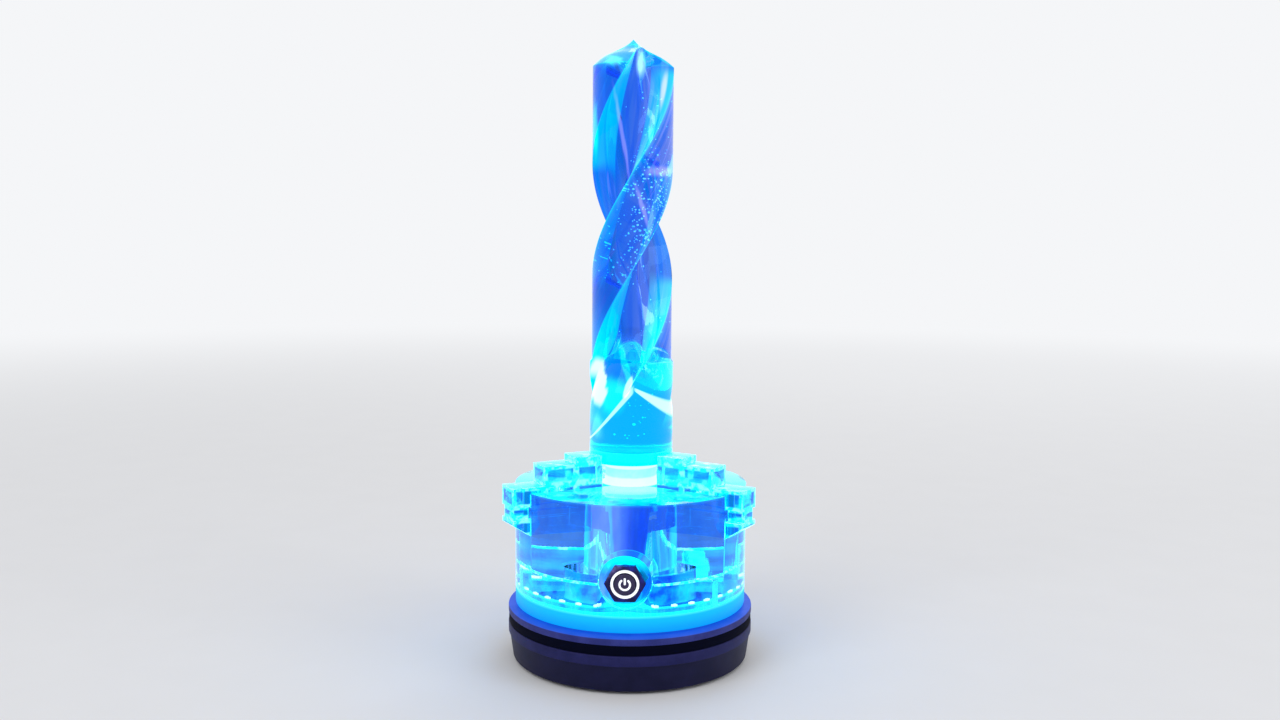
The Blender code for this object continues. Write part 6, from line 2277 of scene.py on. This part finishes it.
@dataclass
class Electrics:
    """Power inlet, leads and controller board."""

    lead_radius: float = 0.6 * MM
    lead_step: float = 0.5 * MM
    plate_under: float = 25.8 * MM
    bend: float = 1.6 * MM
    ring_circle: float = 46.3 * MM
    side_lead: float = 12.0 * MM
    tab_place: float = 3.0 * MM
    flange: float = 5.6 * MM
    flange_depth: float = 1.5 * MM
    barrel: float = 3.9 * MM
    socket: float = 2.75 * MM
    socket_depth: float = 8.5 * MM
    pin: float = 1.05 * MM

    def build(self) -> None:
        """Build the inlet and leads, and dress the controller's nodes."""
        self.inlet()
        self.leads()
        for node, finish in (("controller_board", GREEN_BOARD), ("controller_chip", CHIP),
                             ("capacitor", CHIP), ("led_terminal_block", TERMINAL),
                             ("power_terminal_block", TERMINAL)):
            dress_node(node, finish)

    def inlet(self) -> None:
        """Barrel inlet with its centre pin, nut and tabs."""
        low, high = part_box("inlet_housing")
        height = middle("inlet_housing").z
        depth = low.y - high.y
        corners = [(0, -self.socket_depth, 0), (self.socket, -self.socket_depth, 0),
                   (self.socket, 0, 0.25 * MM), (self.flange, 0, 0.4 * MM),
                   (self.flange, -self.flange_depth, 0.1 * MM), (self.barrel, -self.flange_depth, 0),
                   (self.barrel, depth, 0.3 * MM), (0, depth, 0)]
        add("inlet_housing", turned(rounded(corners, 4), 64), INLET, place=lying(high.y, height, 1))
        low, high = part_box("inlet_pin")
        add("inlet_pin", rod(self.pin, low.y, high.y, 0.5 * MM), NICKEL, place=lying(0, height, 1))
        for node in ("inlet_nut", "inlet_tab_left", "inlet_tab_right"):
            dress_node(node, NICKEL)

    def leads(self) -> None:
        """Leads on the routes that their CAD solids take."""
        top = level("led_terminal_block")[1] + 0.3 * MM
        board_y = middle("led_terminal_block").y
        disc_top = level("diffuser_disc")[1]
        light_end = level("ring_lead")[1]
        tab_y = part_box("switch_tab_right")[1].y
        button = middle("switch_tab_right").z
        hole_y = tab_y + 4.1 * MM
        ring_y = -math.sqrt(self.ring_circle ** 2 - self.side_lead ** 2)
        for node, side, finish in (("switch_lead_left", -1, BLACK), ("switch_lead_right", 1, RED)):
            x, tab_x = side * 1.6 * MM, side * self.tab_place
            self.lead(node, [(x, board_y, top), *self.riser(x, hole_y, disc_top),
                             (tab_x, hole_y, disc_top + 7.25 * MM),
                             (tab_x, (hole_y + tab_y) / 2, button - 1.4 * MM),
                             (tab_x, tab_y + 0.3 * MM, button)], finish)
        x = self.side_lead
        self.lead("ring_lead", [(x, board_y, top), *self.riser(x, ring_y, light_end)], RED)
        run = (top + self.plate_under) / 2
        across = [(-x * share, board_y * share, run) for share in (0.9, 0.5, 0.12)]
        self.lead("centre_lead", [(-x, board_y, top), *across, *self.riser(0, 0, light_end)], RED)
        dress_node("inlet_lead_left", BLACK)
        dress_node("inlet_lead_right", RED)

    def riser(self, x: float, y: float, end: float) -> list[Point]:
        """Return the stops of a lead that rises through its hole."""
        return [(x, y, self.plate_under - self.bend), (x, y, self.plate_under), (x, y, end)]

    def lead(self, node: str, stops: list[Point], finish: Finish) -> None:
        """Carry the lead's circle along its smooth route."""
        add(node, tube(smooth_path(stops, self.lead_step), self.lead_radius, (1, 0.01, 0)), finish)


# Studio


@dataclass
class Studio:
    """Camera at the photograph's place, pale floor and soft light."""

    focal: float = 33.75
    sensor: float = 36.0
    azimuth_degrees: float = 2.3
    pitch_degrees: float = 5.8
    roll_degrees: float = 0.4
    heading_degrees: float = 0.406
    distance: float = 643.8 * MM
    height: float = 227.4 * MM
    floor_size: float = 9.0
    floor_points: int = 9
    fade_start: float = 0.35
    fade_end: float = 2.6
    floor: Colour = (0.80, 0.80, 0.81)
    mottled: float = 0.97
    air: Colour = (0.97, 0.98, 1.0)
    sky: float = 0.94
    fill: float = 0.72
    aim: Point = (0.0, 0.0, 0.15)

    def build(self) -> None:
        """Put in camera, floor, world and lamps."""
        bpy.context.scene.view_settings.view_transform = "Standard"
        self.camera()
        self.ground()
        self.world()
        self.lamp("key", (-1.1, -1.3, 1.4), 1.0, 9.0)
        self.lamp("side", (1.3, -0.6, 0.9), 0.8, 4.0)
        self.lamp("back", (0.4, 1.4, 1.2), 1.0, 4.0)

    def camera(self) -> None:
        """Set the camera by its fitted place and angles."""
        data = bpy.data.cameras.new("camera")
        data.lens = self.focal
        data.sensor_width = self.sensor
        item = bpy.data.objects.new("camera", data)
        azimuth = math.radians(self.azimuth_degrees)
        place = (self.distance * math.sin(azimuth), -self.distance * math.cos(azimuth), self.height)
        item.matrix_world = (
            Matrix.Translation(place)
            @ Matrix.Rotation(azimuth - math.radians(self.heading_degrees), 4, "Z")
            @ Matrix.Rotation(math.radians(90 - self.pitch_degrees), 4, "X")
            @ Matrix.Rotation(math.radians(self.roll_degrees), 4, "Z")
        )
        bpy.context.scene.collection.objects.link(item)
        bpy.context.scene.camera = item

    def ground(self) -> None:
        """Pale floor with a faint mottle, a wide grid of points (x_i, y_j, 0), that fades into the air."""
        count = self.floor_points
        line = np.linspace(-self.floor_size / 2, self.floor_size / 2, count)
        x, y = np.meshgrid(line, line)
        start = (np.arange(count - 1)[:, None] * count + np.arange(count - 1)).ravel()
        faces = np.stack([start, start + 1, start + count + 1, start + count], -1).tolist()
        mesh = bpy.data.meshes.new("floor")
        mesh.from_pydata(np.stack([x, y, np.zeros_like(x)], -1).reshape(-1, 3).tolist(), [], faces)
        item = bpy.data.objects.new("floor", mesh)
        bpy.context.scene.collection.objects.link(item)
        recipe = Recipe(bpy.data.materials.new("floor_look"))
        mottle = recipe.noise(40 * MM, 3.0)
        x, y, _ = recipe.place()
        away = (x * x + y * y).root().step(self.fade_start, self.fade_end)
        pale = recipe.mix(mottle, self.floor, tuple(value * self.mottled for value in self.floor))
        recipe.principled({
            "Base Color": recipe.mix(away, pale, (0.0, 0.0, 0.0)),
            "Roughness": 0.55 + mottle * 0.1,
            "Specular IOR Level": 0.0,
            "Emission Color": recipe.colour(self.air) * (away * self.sky),
            "Emission Strength": 1.0,
        })
        mesh.materials.append(recipe.holder)

    def world(self) -> None:
        """Pale surroundings for sight and gloss, and a plain fill for everything else."""
        world = bpy.data.worlds.new("studio")
        bpy.context.scene.world = world
        recipe = Recipe(world, "ShaderNodeOutputWorld")
        rays = recipe.node("ShaderNodeLightPath").outputs
        seen = recipe.number("MAXIMUM", rays["Is Camera Ray"], rays["Is Transmission Ray"])
        seen = recipe.number("MAXIMUM", seen, rays["Is Glossy Ray"])
        strength = recipe.node("ShaderNodeMix", {}, {0: seen, 2: self.fill, 3: self.sky}).outputs[0]
        recipe.finish("ShaderNodeBackground", {"Color": self.air, "Strength": strength})

    def lamp(self, name: str, place: Sequence[float], size: float, power: float) -> None:
        """Add a large soft lamp that faces the object.

        Args:
            name: The lamp's name.
            place: Where it stands.
            size: The side of its square.
            power: Its power in watts.
        """
        data = bpy.data.lights.new(name, "AREA")
        data.size = size
        data.energy = power
        item = bpy.data.objects.new(name, data)
        item.location = place
        item.rotation_euler = (Vector(self.aim) - Vector(place)).to_track_quat("-Z", "Y").to_euler()
        bpy.context.scene.collection.objects.link(item)


def main() -> None:
    """Build the studio and every sub-assembly."""
    for assembly in (Studio(), Base(), Lights(), Chuck(), Drill(), Button(), Electrics()):
        LOG.info("building %s", type(assembly).__name__)
        assembly.build()


if __name__ == "__main__":
    main()
